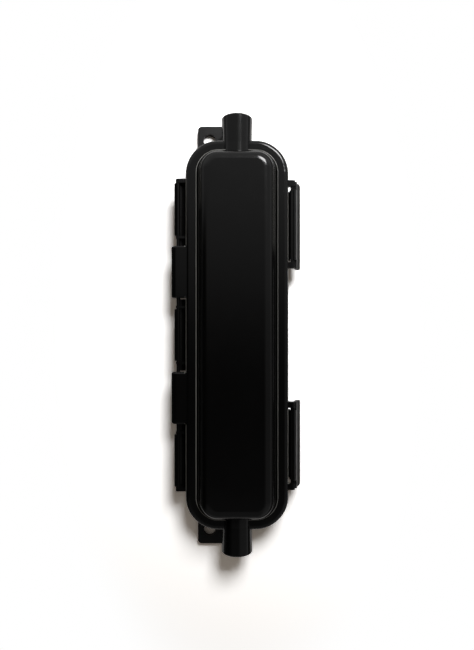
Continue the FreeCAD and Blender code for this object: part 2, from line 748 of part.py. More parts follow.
def build_lid():
    """The domed lid with its port halves, hinge rail, latch ears and guide ribs."""
    lid = new_body("lid_shell")

    rim = sketch_on(lid, "lid_rim_outline", "XY_Plane", z=lid_under)
    rounded_rectangle(rim, flange_x, flange_y, "dims.flange_radius")
    pad(lid, "lid_rim", rim, f"{lid_rim_top} - {lid_under}")
    fillet(lid, "lid_rim_round", edges_at(lid, lid_rim_top), "dims.flange_edge_radius")

    ledge = sketch_on(lid, "ledge_outline", "XY_Plane", z=lid_rim_top)
    rounded_rectangle(ledge, ledge_x, ledge_y, ledge_radius)
    pad(lid, "ledge", ledge, "dims.ledge_height")
    fillet(
        lid, "ledge_round", edges_at(lid, f"{lid_rim_top} + dims.ledge_height"),
        "dims.ledge_edge_radius",
    )
    foot = sketch_on(lid, "dome_foot", "XY_Plane", z=lid_rim_top)
    rounded_rectangle(foot, foot_x, foot_y, foot_radius)
    pad(lid, "dome", foot, "dims.dome_height", taper="-dims.dome_draft")
    fillet(lid, "dome_round", edges_at(lid, lid_top), "dims.dome_edge_radius")

    ports = sketch_on(lid, "lid_port_section", "YZ_Plane", y=parting)
    port_outline(ports, 1)
    turn(lid, "Revolution", "lid_ports", ports, 180, "H_Axis")
    trim = sketch_on(lid, "lid_port_trim_outline", "XY_Plane", z=lid_under)
    rectangle(
        trim, f"-{flange_x}", flange_x, f"-{port_end} - 1", f"{port_end} + 1"
    )
    pocket(lid, "lid_port_trim", trim, "dims.parting_gap")

    throat = sketch_on(lid, "lid_mouth_outline", "XY_Plane", z=lid_under)
    rounded_rectangle(throat, cavity_x, cavity_y, cavity_radius)
    pocket(lid, "lid_mouth", throat, f"{lid_rim_top} - {lid_under}", upward=True)
    hollow = sketch_on(lid, "dome_hollow_outline", "XY_Plane", z=lid_rim_top)
    rounded_rectangle(hollow, cavity_x, cavity_y, cavity_radius)
    pocket(
        lid, "dome_hollow", hollow, "dims.dome_height - dims.roof_thickness",
        taper="-dims.dome_draft", upward=True,
    )
    fillet(
        lid, "dome_hollow_round", edges_at(lid, f"{lid_top} - dims.roof_thickness"),
        "dims.dome_edge_radius - dims.roof_thickness",
    )

    seats = sketch_on(lid, "lid_seal_seat_section", "YZ_Plane", y=parting)
    seat_outline(seats)
    turn(lid, "Groove", "lid_seal_seats", seats, 360, "H_Axis")

    rod = sketch_on(lid, "hinge_rod_outline", "XZ_Plane", x=hinge_x, y=parting)
    circle(rod, hinge_rod_radius)
    web_shift = f"(({hinge_window} + dims.hinge_web_width) / 2)"
    webs = []
    for name, spot in (("middle", web_shift), ("outer", f"2 * {hinge_pitch} - {web_shift}")):
        web = sketch_on(
            lid, f"hinge_web_{name}_outline", "XZ_Plane", x=hinge_x, y=parting, z=f"-({spot})"
        )
        knuckle_outline(web, hinge_web_radius)
        webs.append(
            pad(lid, f"hinge_web_{name}", web, "dims.hinge_web_width", symmetric=True)
        )
    end_web = sketch_on(
        lid, "hinge_end_web_outline", "XZ_Plane", x=hinge_x, y=parting,
        z=f"-{hinge_half} + dims.hinge_end_web / 2",
    )
    knuckle_outline(end_web, hinge_web_radius)
    end_webs = pad(lid, "hinge_end_webs", end_web, "dims.hinge_end_web", symmetric=True)
    barrel = sketch_on(
        lid, "knuckle_outline", "XZ_Plane", x=hinge_x, y=parting, z=f"-{hinge_pitch}"
    )
    knuckle_outline(barrel, knuckle_radius)
    knuckles = pad(lid, "knuckles", barrel, hinge_module, symmetric=True)
    mirror(lid, "hinge_mirror", webs + [end_webs, knuckles])
    sides = sketch_on(lid, "knuckle_side_round_outline", "XY_Plane", x=hinge_x, z=parting)
    tops = sketch_on(lid, "knuckle_top_round_outline", "YZ_Plane", y=parting, z=hinge_x)
    for end in (1, -1):
        for face in (1, -1):
            reach = f"({end} * {hinge_pitch} + {face} * {hinge_module} / 2)"
            corner_waste(sides, f"-{knuckle_radius}", reach, 1, -face, "dims.knuckle_edge_radius")
            corner_waste(tops, reach, knuckle_radius, -face, -1, "dims.knuckle_edge_radius")
    turn(lid, "Groove", "knuckle_side_round", sides, 180, "V_Axis")
    pocket(lid, "knuckle_top_round", tops, "dims.hinge_offset", upward=True)
    pad(lid, "hinge_rod", rod, f"2 * {hinge_half}", symmetric=True)

    ears = []
    for name, shift in (("outer", latch_ear_shift), ("inner", f"-{latch_ear_shift}")):
        ear = sketch_on(
            lid, f"latch_ear_{name}_outline", "XZ_Plane",
            x=latch_x, y=f"{parting} + {latch_rise}", z=f"-{latch_y} - {shift}",
        )
        ear_outline(ear)
        ears.append(
            pad(lid, f"latch_ear_{name}", ear, "dims.latch_ear_width", symmetric=True)
        )
    pivot = sketch_on(
        lid, "latch_rod_outline", "XZ_Plane",
        x=latch_x, y=f"{parting} + {latch_rise}", z=f"-{latch_y}",
    )
    flat_rod_outline(pivot, "(dims.latch_rod_diameter / 2)", "dims.latch_rod_flat")
    pivot_length = "dims.latch_length - dims.latch_ear_width"
    rods = pad(lid, "latch_rods", pivot, pivot_length, symmetric=True)
    mirror(lid, "latch_mirror", ears + [rods])

    ribs = sketch_on(lid, "guide_rib_outline", "XZ_Plane", y=lid_under)
    rib_outer = f"({cavity_x} - dims.guide_rib_gap)"
    rib_inner = f"({rib_outer} - dims.guide_rib_width)"
    for side in (1, -1):
        polygon(ribs, [
            (f"{side} * {rib_outer}", "-dims.guide_rib_depth"),
            (f"{side} * {rib_outer}", "0"),
            (f"{side} * ({cavity_x} + dims.wall / 2)", "0"),
            (f"{side} * ({cavity_x} + dims.wall / 2)", "dims.guide_rib_root"),
            (f"{side} * {rib_inner}", "dims.guide_rib_root"),
            (f"{side} * {rib_inner}", "-dims.guide_rib_depth"),
        ])
    rib_length = f"2 * ({cavity_y} - {cavity_radius} - dims.guide_rib_margin)"
    pad(lid, "guide_ribs", ribs, rib_length, symmetric=True)
    return lid


def build_base():
    """The tub with its port halves, wall lugs, hinge clips, catches and bosses."""
    base = new_body("base_shell")

    rim = sketch_on(base, "base_rim_outline", "XY_Plane", z=parting)
    rounded_rectangle(rim, flange_x, flange_y, "dims.flange_radius")
    pad(base, "base_rim", rim, "dims.base_flange_thickness", downward=True)
    fillet(base, "base_rim_round", edges_at(base, tub_top), "dims.foot_fillet")

    foot = sketch_on(base, "tub_foot", "XY_Plane", z=tub_top)
    rounded_rectangle(foot, foot_x, foot_y, foot_radius)
    pad(base, "tub", foot, tub_top, taper="-dims.tub_draft", downward=True)
    fillet(base, "tub_round", edges_at(base, "0"), "dims.tub_edge_radius")
    fillet(base, "tub_foot_round", edges_along(base, foot), "dims.foot_fillet")

    lugs = sketch_on(base, "wall_lug_outline", "XY_Plane")
    lug_half = "((dims.lug_inner_reach + dims.lug_width / 2) / 2)"
    lug_x = "((dims.lug_inner_reach - dims.lug_width / 2) / 2 - dims.lug_offset)"
    for end in (1, -1):
        rounded_rectangle(
            lugs, lug_half, f"(({lug_end} - {lug_root}) / 2)",
            "dims.lug_corner_radius", lug_x,
            f"{end} * (({lug_end} + {lug_root}) / 2)",
        )
    pad(base, "wall_lugs", lugs, "dims.lug_thickness")
    holes = sketch_on(base, "wall_hole_outline", "XY_Plane", z="dims.lug_thickness")
    for end in (1, -1):
        circle(
            holes, "dims.lug_hole_diameter / 2", "-dims.lug_offset", f"{end} * {lug_hole_y}"
        )
    pocket(base, "wall_holes", holes, "dims.lug_thickness")

    ports = sketch_on(base, "base_port_section", "YZ_Plane", y=parting)
    port_outline(ports, -1)
    turn(base, "Revolution", "base_ports", ports, 180, "H_Axis")

    throat = sketch_on(base, "tub_mouth_outline", "XY_Plane", z=parting)
    rounded_rectangle(throat, cavity_x, cavity_y, cavity_radius)
    pocket(base, "tub_mouth", throat, "dims.base_flange_thickness")
    hollow = sketch_on(base, "tub_hollow_outline", "XY_Plane", z=tub_top)
    rounded_rectangle(hollow, cavity_x, cavity_y, cavity_radius)
    pocket(
        base, "tub_hollow", hollow, f"{tub_top} - dims.floor_thickness",
        taper="-dims.tub_draft",
    )

    seats = sketch_on(base, "base_seal_seat_section", "YZ_Plane", y=parting)
    seat_outline(seats)
    turn(base, "Groove", "base_seal_seats", seats, 360, "H_Axis")

    groove = sketch_on(base, "gasket_groove_outline", "XY_Plane", z=parting)
    for side in ("+", "-"):
        rounded_rectangle(
            groove,
            f"({gasket_x} {side} dims.gasket_width / 2)",
            f"({gasket_y} {side} dims.gasket_width / 2)",
            f"({gasket_radius} {side} dims.gasket_width / 2)",
        )
    pocket(base, "gasket_groove", groove, "dims.gasket_depth")

    plate_side = f"({hinge_module} / 2 + dims.knuckle_gap - dims.hinge_plate_end_gap)"
    middle = sketch_on(base, "hinge_plate_outline", "XZ_Plane", x=hinge_x, y=parting)
    hinge_plate_outline(middle)
    pad(base, "hinge_plate", middle, f"2 * {plate_side}", symmetric=True)
    plate_start = f"(2 * {hinge_pitch} - {plate_side})"
    plate_end = f"({hinge_half} - dims.hinge_end_web / 2)"
    outer = sketch_on(
        base, "hinge_end_plate_outline", "XZ_Plane",
        x=hinge_x, y=parting, z=f"-({plate_start} + {plate_end}) / 2",
    )
    hinge_plate_outline(outer)
    end_plates = pad(
        base, "hinge_end_plate", outer, f"{plate_end} - {plate_start}", symmetric=True
    )
    mirror(base, "hinge_end_plates", [end_plates])
    clip = sketch_on(
        base, "hinge_clip_outline", "XZ_Plane",
        x=hinge_x, y=parting, z=f"2 * {hinge_pitch}",
    )
    hinge_clip_outline(clip)
    clips = pad(base, "hinge_clip", clip, hinge_module, symmetric=True)
    repeat(base, "hinge_clips", [clips], "Y_Axis", f"4 * {hinge_pitch}", "3")

    catch = sketch_on(
        base, "catch_outline", "XZ_Plane", x=flange_x, y=tub_top, z=f"-{latch_y}"
    )
    polygon(catch, [
        (f"-{base_bite}", "0"),
        ("dims.catch_depth", "0"),
        ("dims.catch_depth", "dims.catch_height - dims.catch_depth / 2"),
        ("0", "dims.catch_height + dims.catch_depth / 2"),
        (f"-{base_bite}", "dims.catch_height + dims.catch_depth / 2"),
    ])
    catches = pad(base, "catch", catch, latch_clip_length, symmetric=True)
    mirror(base, "catch_mirror", [catches])

    boss_root = "(dims.floor_thickness / 2)"
    saddles = sketch_on(base, "saddle_outline", "XY_Plane", z=boss_root)
    for end in (1, -1):
        rectangle(
            saddles, f"-{clamp_screw_x}", clamp_screw_x,
            f"{end} * {clamp_y} - dims.clamp_width / 4",
            f"{end} * {clamp_y} + dims.clamp_width / 4",
        )
    pad(base, "saddles", saddles, f"{clamp_seat} - {boss_root}")
    bosses = sketch_on(base, "clamp_boss_outline", "XY_Plane", z=boss_root)
    pilots = sketch_on(base, "clamp_pilot_outline", "XY_Plane", z=clamp_seat)
    for side in (1, -1):
        for end in (1, -1):
            spot = (f"{side} * {clamp_screw_x}", f"{end} * {clamp_y}")
            circle(bosses, "dims.clamp_boss_diameter / 2", *spot)
            circle(pilots, pilot_radius, *spot)
    pad(base, "clamp_bosses", bosses, f"{clamp_seat} - {boss_root}")
    pocket(base, "clamp_pilots", pilots, clamp_pilot_depth)
    cradle = sketch_on(base, "cradle_outline", "XZ_Plane", y=parting)
    circle(cradle, "dims.clamp_bore / 2")
    pocket(
        base, "cradles", cradle, f"2 * ({clamp_y} + dims.clamp_width)", symmetric=True
    )

    posts = sketch_on(base, "holder_boss_outline", "XY_Plane", z=boss_root)
    screw_holes = sketch_on(base, "holder_pilot_outline", "XY_Plane", z=holder_seat)
    for end in (1, -1):
        circle(posts, "dims.holder_boss_diameter / 2", "0", f"{end} * {holder_screw_y}")
        circle(screw_holes, pilot_radius, "0", f"{end} * {holder_screw_y}")
    pad(base, "holder_bosses", posts, f"{holder_seat} - {boss_root}")
    pocket(base, "holder_pilots", screw_holes, holder_pilot_depth)
    return base


def build_gasket(name, side):
    """One strip of the rim gasket, round the rim from port to port."""
    gasket = new_body(name)
    low = f"({parting} - dims.gasket_depth)"
    half_width = "(dims.gasket_width / 2 - dims.gasket_side_gap)"
    ring = sketch_on(gasket, f"{name}_outline", "XY_Plane", z=low)
    for edge in ("+", "-"):
        rounded_rectangle(
            ring,
            f"({gasket_x} {edge} {half_width})",
            f"({gasket_y} {edge} {half_width})",
            f"({gasket_radius} {edge} {half_width})",
        )
    height = "dims.gasket_depth + dims.parting_gap - dims.gasket_top_gap"
    pad(gasket, f"{name}_ring", ring, height)
    cut = sketch_on(gasket, f"{name}_ends", "XY_Plane", z=low)
    near = f"{side} * ({seal_radius} + dims.seal_clearance)"
    far = f"-{side} * ({flange_x} + 1)"
    limits = (far, near) if side > 0 else (near, far)
    rectangle(cut, *limits, f"-{flange_y} - 1", f"{flange_y} + 1")
    pocket(gasket, f"{name}_strip", cut, "dims.gasket_depth * 2", upward=True)
    return gasket


def build_seal(name, end):
    """A ribbed rubber sleeve that lies in the port's bore and grips the cable."""
    seal = new_body(name)
    half = f"({seal_length} / 2)"
    bore = "(dims.cable_bore / 2)"
    waist = f"({seal_radius} - dims.seal_groove_depth)"
    rib = "dims.seal_rib"
    section = sketch_on(seal, f"{name}_section", "YZ_Plane")
    polygon(section, [
        (f"-{half}", bore), (half, bore), (half, seal_radius),
        (f"({half} - {rib})", seal_radius), (f"({half} - {rib})", waist),
        (f"({rib} / 2)", waist), (f"({rib} / 2)", seal_radius),
        (f"(-{rib} / 2)", seal_radius), (f"(-{rib} / 2)", waist),
        (f"({rib} - {half})", waist), (f"({rib} - {half})", seal_radius),
        (f"-{half}", seal_radius),
    ])
    turn(seal, "Revolution", f"{name}_sleeve", section, 360, "H_Axis")
    place(seal, y=f"{end} * ({seat_start} + {seat_end}) / 2", z=parting)
    return seal


def build_latch(name, end):
    """A clip that hangs on the lid's rod and hooks under the tub's catch."""
    latch = new_body(name)
    plate = sketch_on(latch, f"{name}_plate_outline", "XZ_Plane")
    polygon(plate, [
        (latch_plate_inner, latch_plate_top),
        (latch_clip_radius, latch_plate_top),
        (latch_clip_radius, latch_lip_top),
        (f"({latch_clip_radius} + dims.latch_lip_flare)", "-dims.latch_plate_reach"),
        (f"({latch_plate_inner} + dims.latch_lip_flare)", "-dims.latch_plate_reach"),
        (latch_plate_inner, latch_lip_top),
    ])
    pad(latch, f"{name}_plate", plate, "dims.latch_length", symmetric=True)
    fillet(
        latch, f"{name}_corners", edges_across_end(latch, "-dims.latch_plate_reach"),
        "dims.latch_corner_radius",
    )
    clip = sketch_on(latch, f"{name}_clip_outline", "XZ_Plane")
    latch_clip_outline(clip)
    pad(latch, f"{name}_clip", clip, latch_clip_length, symmetric=True)
    hook = sketch_on(latch, f"{name}_hook_outline", "XZ_Plane")
    root = f"({latch_plate_inner} + dims.latch_plate_thickness / 2)"
    polygon(hook, [
        (root, latch_hook_top),
        (latch_hook_tip, latch_hook_top),
        (latch_hook_tip, f"({latch_hook_top} - dims.latch_hook_lead)"),
        (root, f"({latch_hook_top} - dims.latch_hook_height)"),
    ])
    pad(latch, f"{name}_hook", hook, latch_clip_length, symmetric=True)
    latch.Placement = FreeCAD.Placement(
        FreeCAD.Vector(),
        FreeCAD.Rotation(FreeCAD.Vector(0, -1, 0), value("dims.latch_rest_angle")),
    )
    latch.setExpression("Placement.Rotation.Angle", "dims.latch_rest_angle")
    place(latch, x=latch_x, y=f"{end} * {latch_y}", z=f"{parting} + {latch_rise}")
    return latch


def build_clamp(name, end):
    """A steel strip that holds the cable down on its saddle."""
    clamp = new_body(name)
    strip = sketch_on(clamp, f"{name}_outline", "XZ_Plane")
    clamp_outline(strip)
    pad(clamp, f"{name}_strip", strip, "dims.clamp_width", symmetric=True)
    holes = sketch_on(clamp, f"{name}_hole_outline", "XY_Plane")
    for side in (1, -1):
        circle(holes, screw_hole_radius, f"{side} * {clamp_screw_x}", "0")
    pocket(clamp, f"{name}_holes", holes, "dims.clamp_drop * 2")
    place(clamp, y=f"{end} * {clamp_y}", z=parting)
    return clamp


def build_screws(name, length, spots, seat):
    """Pan-head screws of one length, as one group; each stands with its head on the seat."""
    screws = []
    for number, (x, y) in enumerate(spots, start=1):
        screw = doc.addObject("PartDesign::Body", f"{name}_{number}")
        section = sketch_on(screw, f"{name}_{number}_section", "XZ_Plane")
        shank, head = "(dims.screw_shank_diameter / 2)", "(dims.screw_head_diameter / 2)"
        side = "(dims.screw_head_height - dims.screw_head_dome)"
        polygon(section, [
            ("0", f"-{length}"),
            (f"({shank} / 2)", f"-{length}"),
            (shank, f"(-{length} + {shank} / 2)"),
            (shank, "0"),
            (head, "0"),
            (head, side),
            (f"({head} - dims.screw_head_dome)", "dims.screw_head_height"),
            ("0", "dims.screw_head_height"),
        ])
        turn(screw, "Revolution", f"{name}_{number}_turned", section, 360, "V_Axis")
        place(screw, x, y, seat)
        screws.append(screw)
    group = doc.addObject("Part::Compound", name)
    group.Label = name
    group.Links = screws
    subparts.append(group)
    return group


def build_holder():
    """The comb that carries the splice sleeves side by side."""
    holder = new_body("splice_holder")
    plate = sketch_on(holder, "holder_plate_outline", "XY_Plane", z=holder_seat)
    rounded_rectangle(
        plate, "(dims.holder_width / 2)", "(dims.holder_length / 2)",
        "dims.holder_corner_radius",
    )
    pad(holder, "holder_plate", plate, "dims.holder_thickness")
    holes = sketch_on(holder, "holder_hole_outline", "XY_Plane", z=holder_top)
    for end in (1, -1):
        circle(holes, screw_hole_radius, "0", f"{end} * {holder_screw_y}")
    pocket(holder, "holder_holes", holes, "dims.holder_thickness")
    first = "(-dims.fin_pitch * (dims.fin_count - 1) / 2)"
    side = "(dims.fin_thickness / 2)"
    nose = f"({side} + dims.fin_bead)"
    neck = "(dims.fin_height - dims.fin_bead_height)"
    swell = "(dims.fin_height - dims.fin_bead_height / 2)"
    fins = []
    for word, end in (("upper", 1), ("lower", -1)):
        fin = sketch_on(
            holder, f"fin_{word}_outline", "XZ_Plane",
            x=first, y=holder_top, z=f"-{end} * dims.fin_station",
        )
        polygon(fin, [
            (f"-{side}", "-dims.holder_thickness / 2"), (side, "-dims.holder_thickness / 2"),
            (side, neck), (nose, swell), (side, "dims.fin_height"),
            (f"-{side}", "dims.fin_height"), (f"-{nose}", swell), (f"-{side}", neck),
        ])
        fins.append(pad(holder, f"fin_{word}", fin, "dims.fin_length", symmetric=True))
    repeat(
        holder, "fins", fins, "X_Axis", "dims.fin_pitch * (dims.fin_count - 1)", "dims.fin_count"
    )
    return holder


build_base()
build_lid()
build_gasket("gasket_right", 1)
build_gasket("gasket_left", -1)
for word, end in (("upper", 1), ("lower", -1)):
    build_seal(f"cable_seal_{word}", end)
    build_latch(f"latch_{word}", end)
    build_clamp(f"cable_clamp_{word}", end)
build_screws(
    "clamp_screws", "dims.clamp_screw_length",
    [
        (f"{side} * {clamp_screw_x}", f"{end} * {clamp_y}")
        for side in (1, -1)
        for end in (1, -1)
    ],
    f"{clamp_seat} + dims.clamp_thickness",
)
build_holder()
build_screws(
    "holder_screws", "dims.holder_screw_length",
    [("0", f"{end} * {holder_screw_y}") for end in (1, -1)],
    holder_top,
)
doc.recompute()

failed = [o.Label for o in doc.Objects if "Invalid" in o.State or "Error" in o.State]
if failed:
    raise RuntimeError(f"These objects failed: {failed}")
for part in subparts:
    if part.Shape.isNull() or not part.Shape.isValid():
        raise RuntimeError(f"{part.Label} has no valid shape")

os.makedirs("parts", exist_ok=True)
for part in subparts:
    part.Shape.exportStep(f"parts/{part.Label}.step")
    print(part.Label, len(part.Shape.Solids), round(part.Shape.Volume, 2))
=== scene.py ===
"""Looks of the splice protection box: finishes, screws, floor, light and camera.

Metres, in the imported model's own frame: X across the box, Y along the cable, Z up.
"""
import math

import bpy
from mathutils import Matrix, Vector


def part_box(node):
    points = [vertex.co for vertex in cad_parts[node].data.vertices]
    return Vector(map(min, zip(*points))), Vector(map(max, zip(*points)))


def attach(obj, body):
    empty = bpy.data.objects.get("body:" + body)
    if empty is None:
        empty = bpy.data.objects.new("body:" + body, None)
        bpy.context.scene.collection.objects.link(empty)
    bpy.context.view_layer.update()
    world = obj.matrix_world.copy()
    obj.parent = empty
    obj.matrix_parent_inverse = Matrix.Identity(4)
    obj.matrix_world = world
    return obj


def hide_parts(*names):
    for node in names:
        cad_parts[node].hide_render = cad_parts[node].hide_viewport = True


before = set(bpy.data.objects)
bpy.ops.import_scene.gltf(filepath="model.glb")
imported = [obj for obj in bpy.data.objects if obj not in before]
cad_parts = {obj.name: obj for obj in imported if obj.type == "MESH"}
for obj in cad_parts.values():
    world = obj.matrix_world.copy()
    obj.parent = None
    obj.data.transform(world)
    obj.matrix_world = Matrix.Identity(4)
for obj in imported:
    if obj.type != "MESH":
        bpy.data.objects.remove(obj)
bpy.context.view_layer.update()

MM = 0.001

# The lid's outlines turn about the same corner centres. For the crest of the ledge round
# the dome and for the flange's edge: the radius, the heights that the edge lies between,
# and how far from it the rub, painted paler as the edge's highlight, begins to fade and is gone.
CORNER_CENTRE = (7.2 * MM, 63.9 * MM)
LEDGE_CORNER = 8.88 * MM
LEDGE_HEIGHTS = (14.75 * MM, 15.3 * MM)
LEDGE_FADE = (0.08 * MM, 0.2 * MM)
FLANGE_CORNER = 13.2 * MM
FLANGE_EDGE_HEIGHTS = (13.0 * MM, 14.1 * MM)
FLANGE_EDGE_FADE = (0.3 * MM, 0.45 * MM)
# The ledge's rub and painted highlight are full on the hinge side and this share of that on the
# latch side, held down there because the lamp lights that side more.
LEDGE_REACH = 16 * MM
LIT_SIDE_RUB_SHARE = 0.5
# How far past the corner centres the wear of the straight sides dies out.
STRAIGHT_FADE = 6 * MM
# The dome's steep walls begin this far inside the ledge's crest, and turn over into the
# dome's rounded edge at this height, give or take the fade.
WALL_FOOT = 0.25 * MM
WALL_TOP = 19.3 * MM
WALL_TOP_FADE = 0.5 * MM
# The walls' painted reflection, a paler grey: where along the box it sets in, how much sooner
# towards the latch side, and the pairs of heights, bare and painted, at its foot and at its top.
SHEEN_START = (38 * MM, 45 * MM)
SHEEN_LEAN = 0.6
SHEEN_FADES = ((16.8 * MM, 17.4 * MM), (21.2 * MM, 20.4 * MM))
PAINTED_SHEEN_GREY = "#2b2b2a"

ABS_IOR = 1.53
# Specular levels: the plastic's own, and the little that the dome's steep walls keep of it, turned
# down there as painted shade.
PLASTIC_SHINE = 0.5
SHADED_WALL_SHINE = 0.01
# An edge that is rubbed in full; its paler grey also paints the highlight the edge catches. A
# latch's lip gets a share of that.
RUB_AND_HIGHLIGHT_GREY = "#6e6e6b"
RUBBED_ROUGHNESS = 0.28
LIP_RUB_AND_HIGHLIGHT = 0.7
LIP_FADE = 0.3 * MM
# The roughness that scuffs add, and the height over which they die out.
SCUFF_ROUGHNESS = 0.17
SCUFF_FADE = 2 * MM


def linear(hex_colour):
    """An sRGB hex colour as linear RGBA."""
    channels = [int(hex_colour[i:i + 2], 16) / 255 for i in (1, 3, 5)]
    curve = [c / 12.92 if c <= 0.04045 else ((c + 0.055) / 1.055) ** 2.4 for c in channels]
    return (*curve, 1.0)


def add_node(tree, kind, settings=None, inputs=None):
    """A node with its settings; each input is a value or the socket that feeds it."""
    node = tree.nodes.new(kind)
    for name, setting in (settings or {}).items():
        setattr(node, name, setting)
    for key, source in (inputs or {}).items():
        if isinstance(source, bpy.types.NodeSocket):
            tree.links.new(source, node.inputs[key])
        else:
            node.inputs[key].default_value = source
    return node


def set_stops(ramp_node, stops):
    """Fill a colour ramp with (position, linear colour) stops."""
    elements = ramp_node.color_ramp.elements
    while len(elements) > 1:
        elements.remove(elements[-1])
    elements[0].position, elements[0].color = stops[0]
    for position, colour in stops[1:]:
        elements.new(position).color = colour


def new_material(name):
    """An empty material: its tree, its surface shader and its Object coordinates."""
    material = bpy.data.materials.new(name)
    material.use_nodes = True
    tree = material.node_tree
    tree.nodes.clear()
    shader = add_node(tree, "ShaderNodeBsdfPrincipled")
    add_node(tree, "ShaderNodeOutputMaterial", inputs={"Surface": shader.outputs["BSDF"]})
    place = add_node(tree, "ShaderNodeTexCoord").outputs["Object"]
    return material, tree, shader, place


def per(size_mm):
    """The texture scale that gives one feature this size."""
    return 1 / (size_mm * MM)


def moulded_black_abs(name, gloss, lid_rub_shade_sheen=False, lip_rub_and_highlight=None, scuff_top=None):
    """Black ABS: near black with a faint flow mottle; the tool's polish sets the gloss.

    The eye sees mostly what it mirrors, broken a little by orange peel and by duller
    patches from handling. Edges that stand proud are rubbed to a paler, duller grey, which
    also paints the highlight they catch, on the lid and, past a given X, on a latch. The
    dome's steep long walls keep little shine, turned down as painted shade, and towards the
    upper end a paler grey is painted on them as a reflection. What lies low against a wall,
    up to scuff_top, is scuffed dull.
    """
    material, tree, shader, place = new_material(name)
    flow = add_node(tree, "ShaderNodeTexNoise", {}, {
        "Vector": place, "Scale": per(18), "Detail": 3.0, "Roughness": 0.55,
    })
    tint = add_node(tree, "ShaderNodeValToRGB", inputs={"Fac": flow.outputs["Fac"]})
    set_stops(tint, [(0.3, linear("#040404")), (0.7, linear("#050505"))])
    handling = add_node(tree, "ShaderNodeTexNoise", {}, {
        "Vector": place, "Scale": per(7), "Detail": 4.0, "Roughness": 0.6,
    })
    dulling = add_node(tree, "ShaderNodeMapRange", {}, {
        "Value": handling.outputs["Fac"], "From Min": 0.35, "From Max": 0.7,
        "To Min": gloss[0], "To Max": gloss[1],
    })
    colour = tint.outputs["Color"]
    roughness = dulling.outputs["Result"]
    rub_and_highlight = None
    if lid_rub_shade_sheen:
        rub_and_highlight, shaded_wall, painted_sheen = lid_wear_and_light_masks(tree, place)
        # A paler grey painted on the upper walls as a reflection.
        sheened = add_node(tree, "ShaderNodeMix", {"data_type": "RGBA"}, {
            "Factor": painted_sheen, "A": colour, "B": linear(PAINTED_SHEEN_GREY),
        })
        colour = sheened.outputs["Result"]
        # The steep walls' specular level is turned down: painted shade.
        shine = add_node(tree, "ShaderNodeMix", {"data_type": "FLOAT"}, {
            "Factor": shaded_wall, "A": PLASTIC_SHINE, "B": SHADED_WALL_SHINE,
        })
        tree.links.new(shine.outputs["Result"], shader.inputs["Specular IOR Level"])
    if lip_rub_and_highlight is not None:
        spot = add_node(tree, "ShaderNodeSeparateXYZ", inputs={"Vector": place})
        # The lip past its edge gets a share of the paler grey: rub and painted highlight.
        rub_and_highlight = add_node(tree, "ShaderNodeMapRange", {"interpolation_type": "SMOOTHSTEP"}, {
            "Value": spot.outputs["X"], "From Min": lip_rub_and_highlight - LIP_FADE,
            "From Max": lip_rub_and_highlight + LIP_FADE, "To Max": LIP_RUB_AND_HIGHLIGHT,
        }).outputs["Result"]
    if rub_and_highlight is not None:
        # Rubbed edges painted paler and duller, which also paints the highlight they catch.
        pale = add_node(tree, "ShaderNodeMix", {"data_type": "RGBA"}, {
            "Factor": rub_and_highlight, "A": colour, "B": linear(RUB_AND_HIGHLIGHT_GREY),
        })
        colour = pale.outputs["Result"]
        dull = add_node(tree, "ShaderNodeMix", {"data_type": "FLOAT"}, {
            "Factor": rub_and_highlight, "A": roughness, "B": RUBBED_ROUGHNESS,
        })
        roughness = dull.outputs["Result"]
    if scuff_top is not None:
        spot = add_node(tree, "ShaderNodeSeparateXYZ", inputs={"Vector": place})
        scuff = add_node(tree, "ShaderNodeMapRange", {}, {
            "Value": spot.outputs["Z"], "From Min": scuff_top,
            "From Max": scuff_top + SCUFF_FADE, "To Min": SCUFF_ROUGHNESS, "To Max": 0.0,
        })
        worn_and_lit = add_node(tree, "ShaderNodeMath", {"operation": "ADD"}, {
            0: roughness, 1: scuff.outputs["Result"],
        })
        roughness = worn_and_lit.outputs[0]
    peel = add_node(tree, "ShaderNodeTexNoise", {}, {
        "Vector": place, "Scale": per(1.4), "Detail": 2.0,
    })
    bump = add_node(tree, "ShaderNodeBump", {}, {
        "Height": peel.outputs["Fac"], "Strength": 0.12, "Distance": 0.02 * MM,
    })
    tree.links.new(colour, shader.inputs["Base Color"])
    tree.links.new(roughness, shader.inputs["Roughness"])
    tree.links.new(bump.outputs["Normal"], shader.inputs["Normal"])
    shader.inputs["IOR"].default_value = ABS_IOR
    return material


def edge_rub_and_highlight(tree, off, height, fade, heights, strength):
    """A mask along an outline: full near it, none past the fade, only between two heights."""
    distance = add_node(tree, "ShaderNodeMath", {"operation": "ABSOLUTE"}, {0: off})
    near = add_node(tree, "ShaderNodeMapRange", {"interpolation_type": "SMOOTHSTEP"}, {
        "Value": distance.outputs[0], "From Min": fade[0], "From Max": fade[1],
        "To Min": strength, "To Max": 0.0,
    })
    above = add_node(tree, "ShaderNodeMath", {"operation": "GREATER_THAN"}, {
        0: height, 1: heights[0],
    })
    below = add_node(tree, "ShaderNodeMath", {"operation": "LESS_THAN"}, {
        0: height, 1: heights[1],
    })
    band = add_node(tree, "ShaderNodeMath", {"operation": "MULTIPLY"}, {
        0: above.outputs[0], 1: below.outputs[0],
    })
    rub_and_highlight = add_node(tree, "ShaderNodeMath", {"operation": "MULTIPLY"}, {
        0: near.outputs["Result"], 1: band.outputs[0],
    })
    return rub_and_highlight.outputs[0]


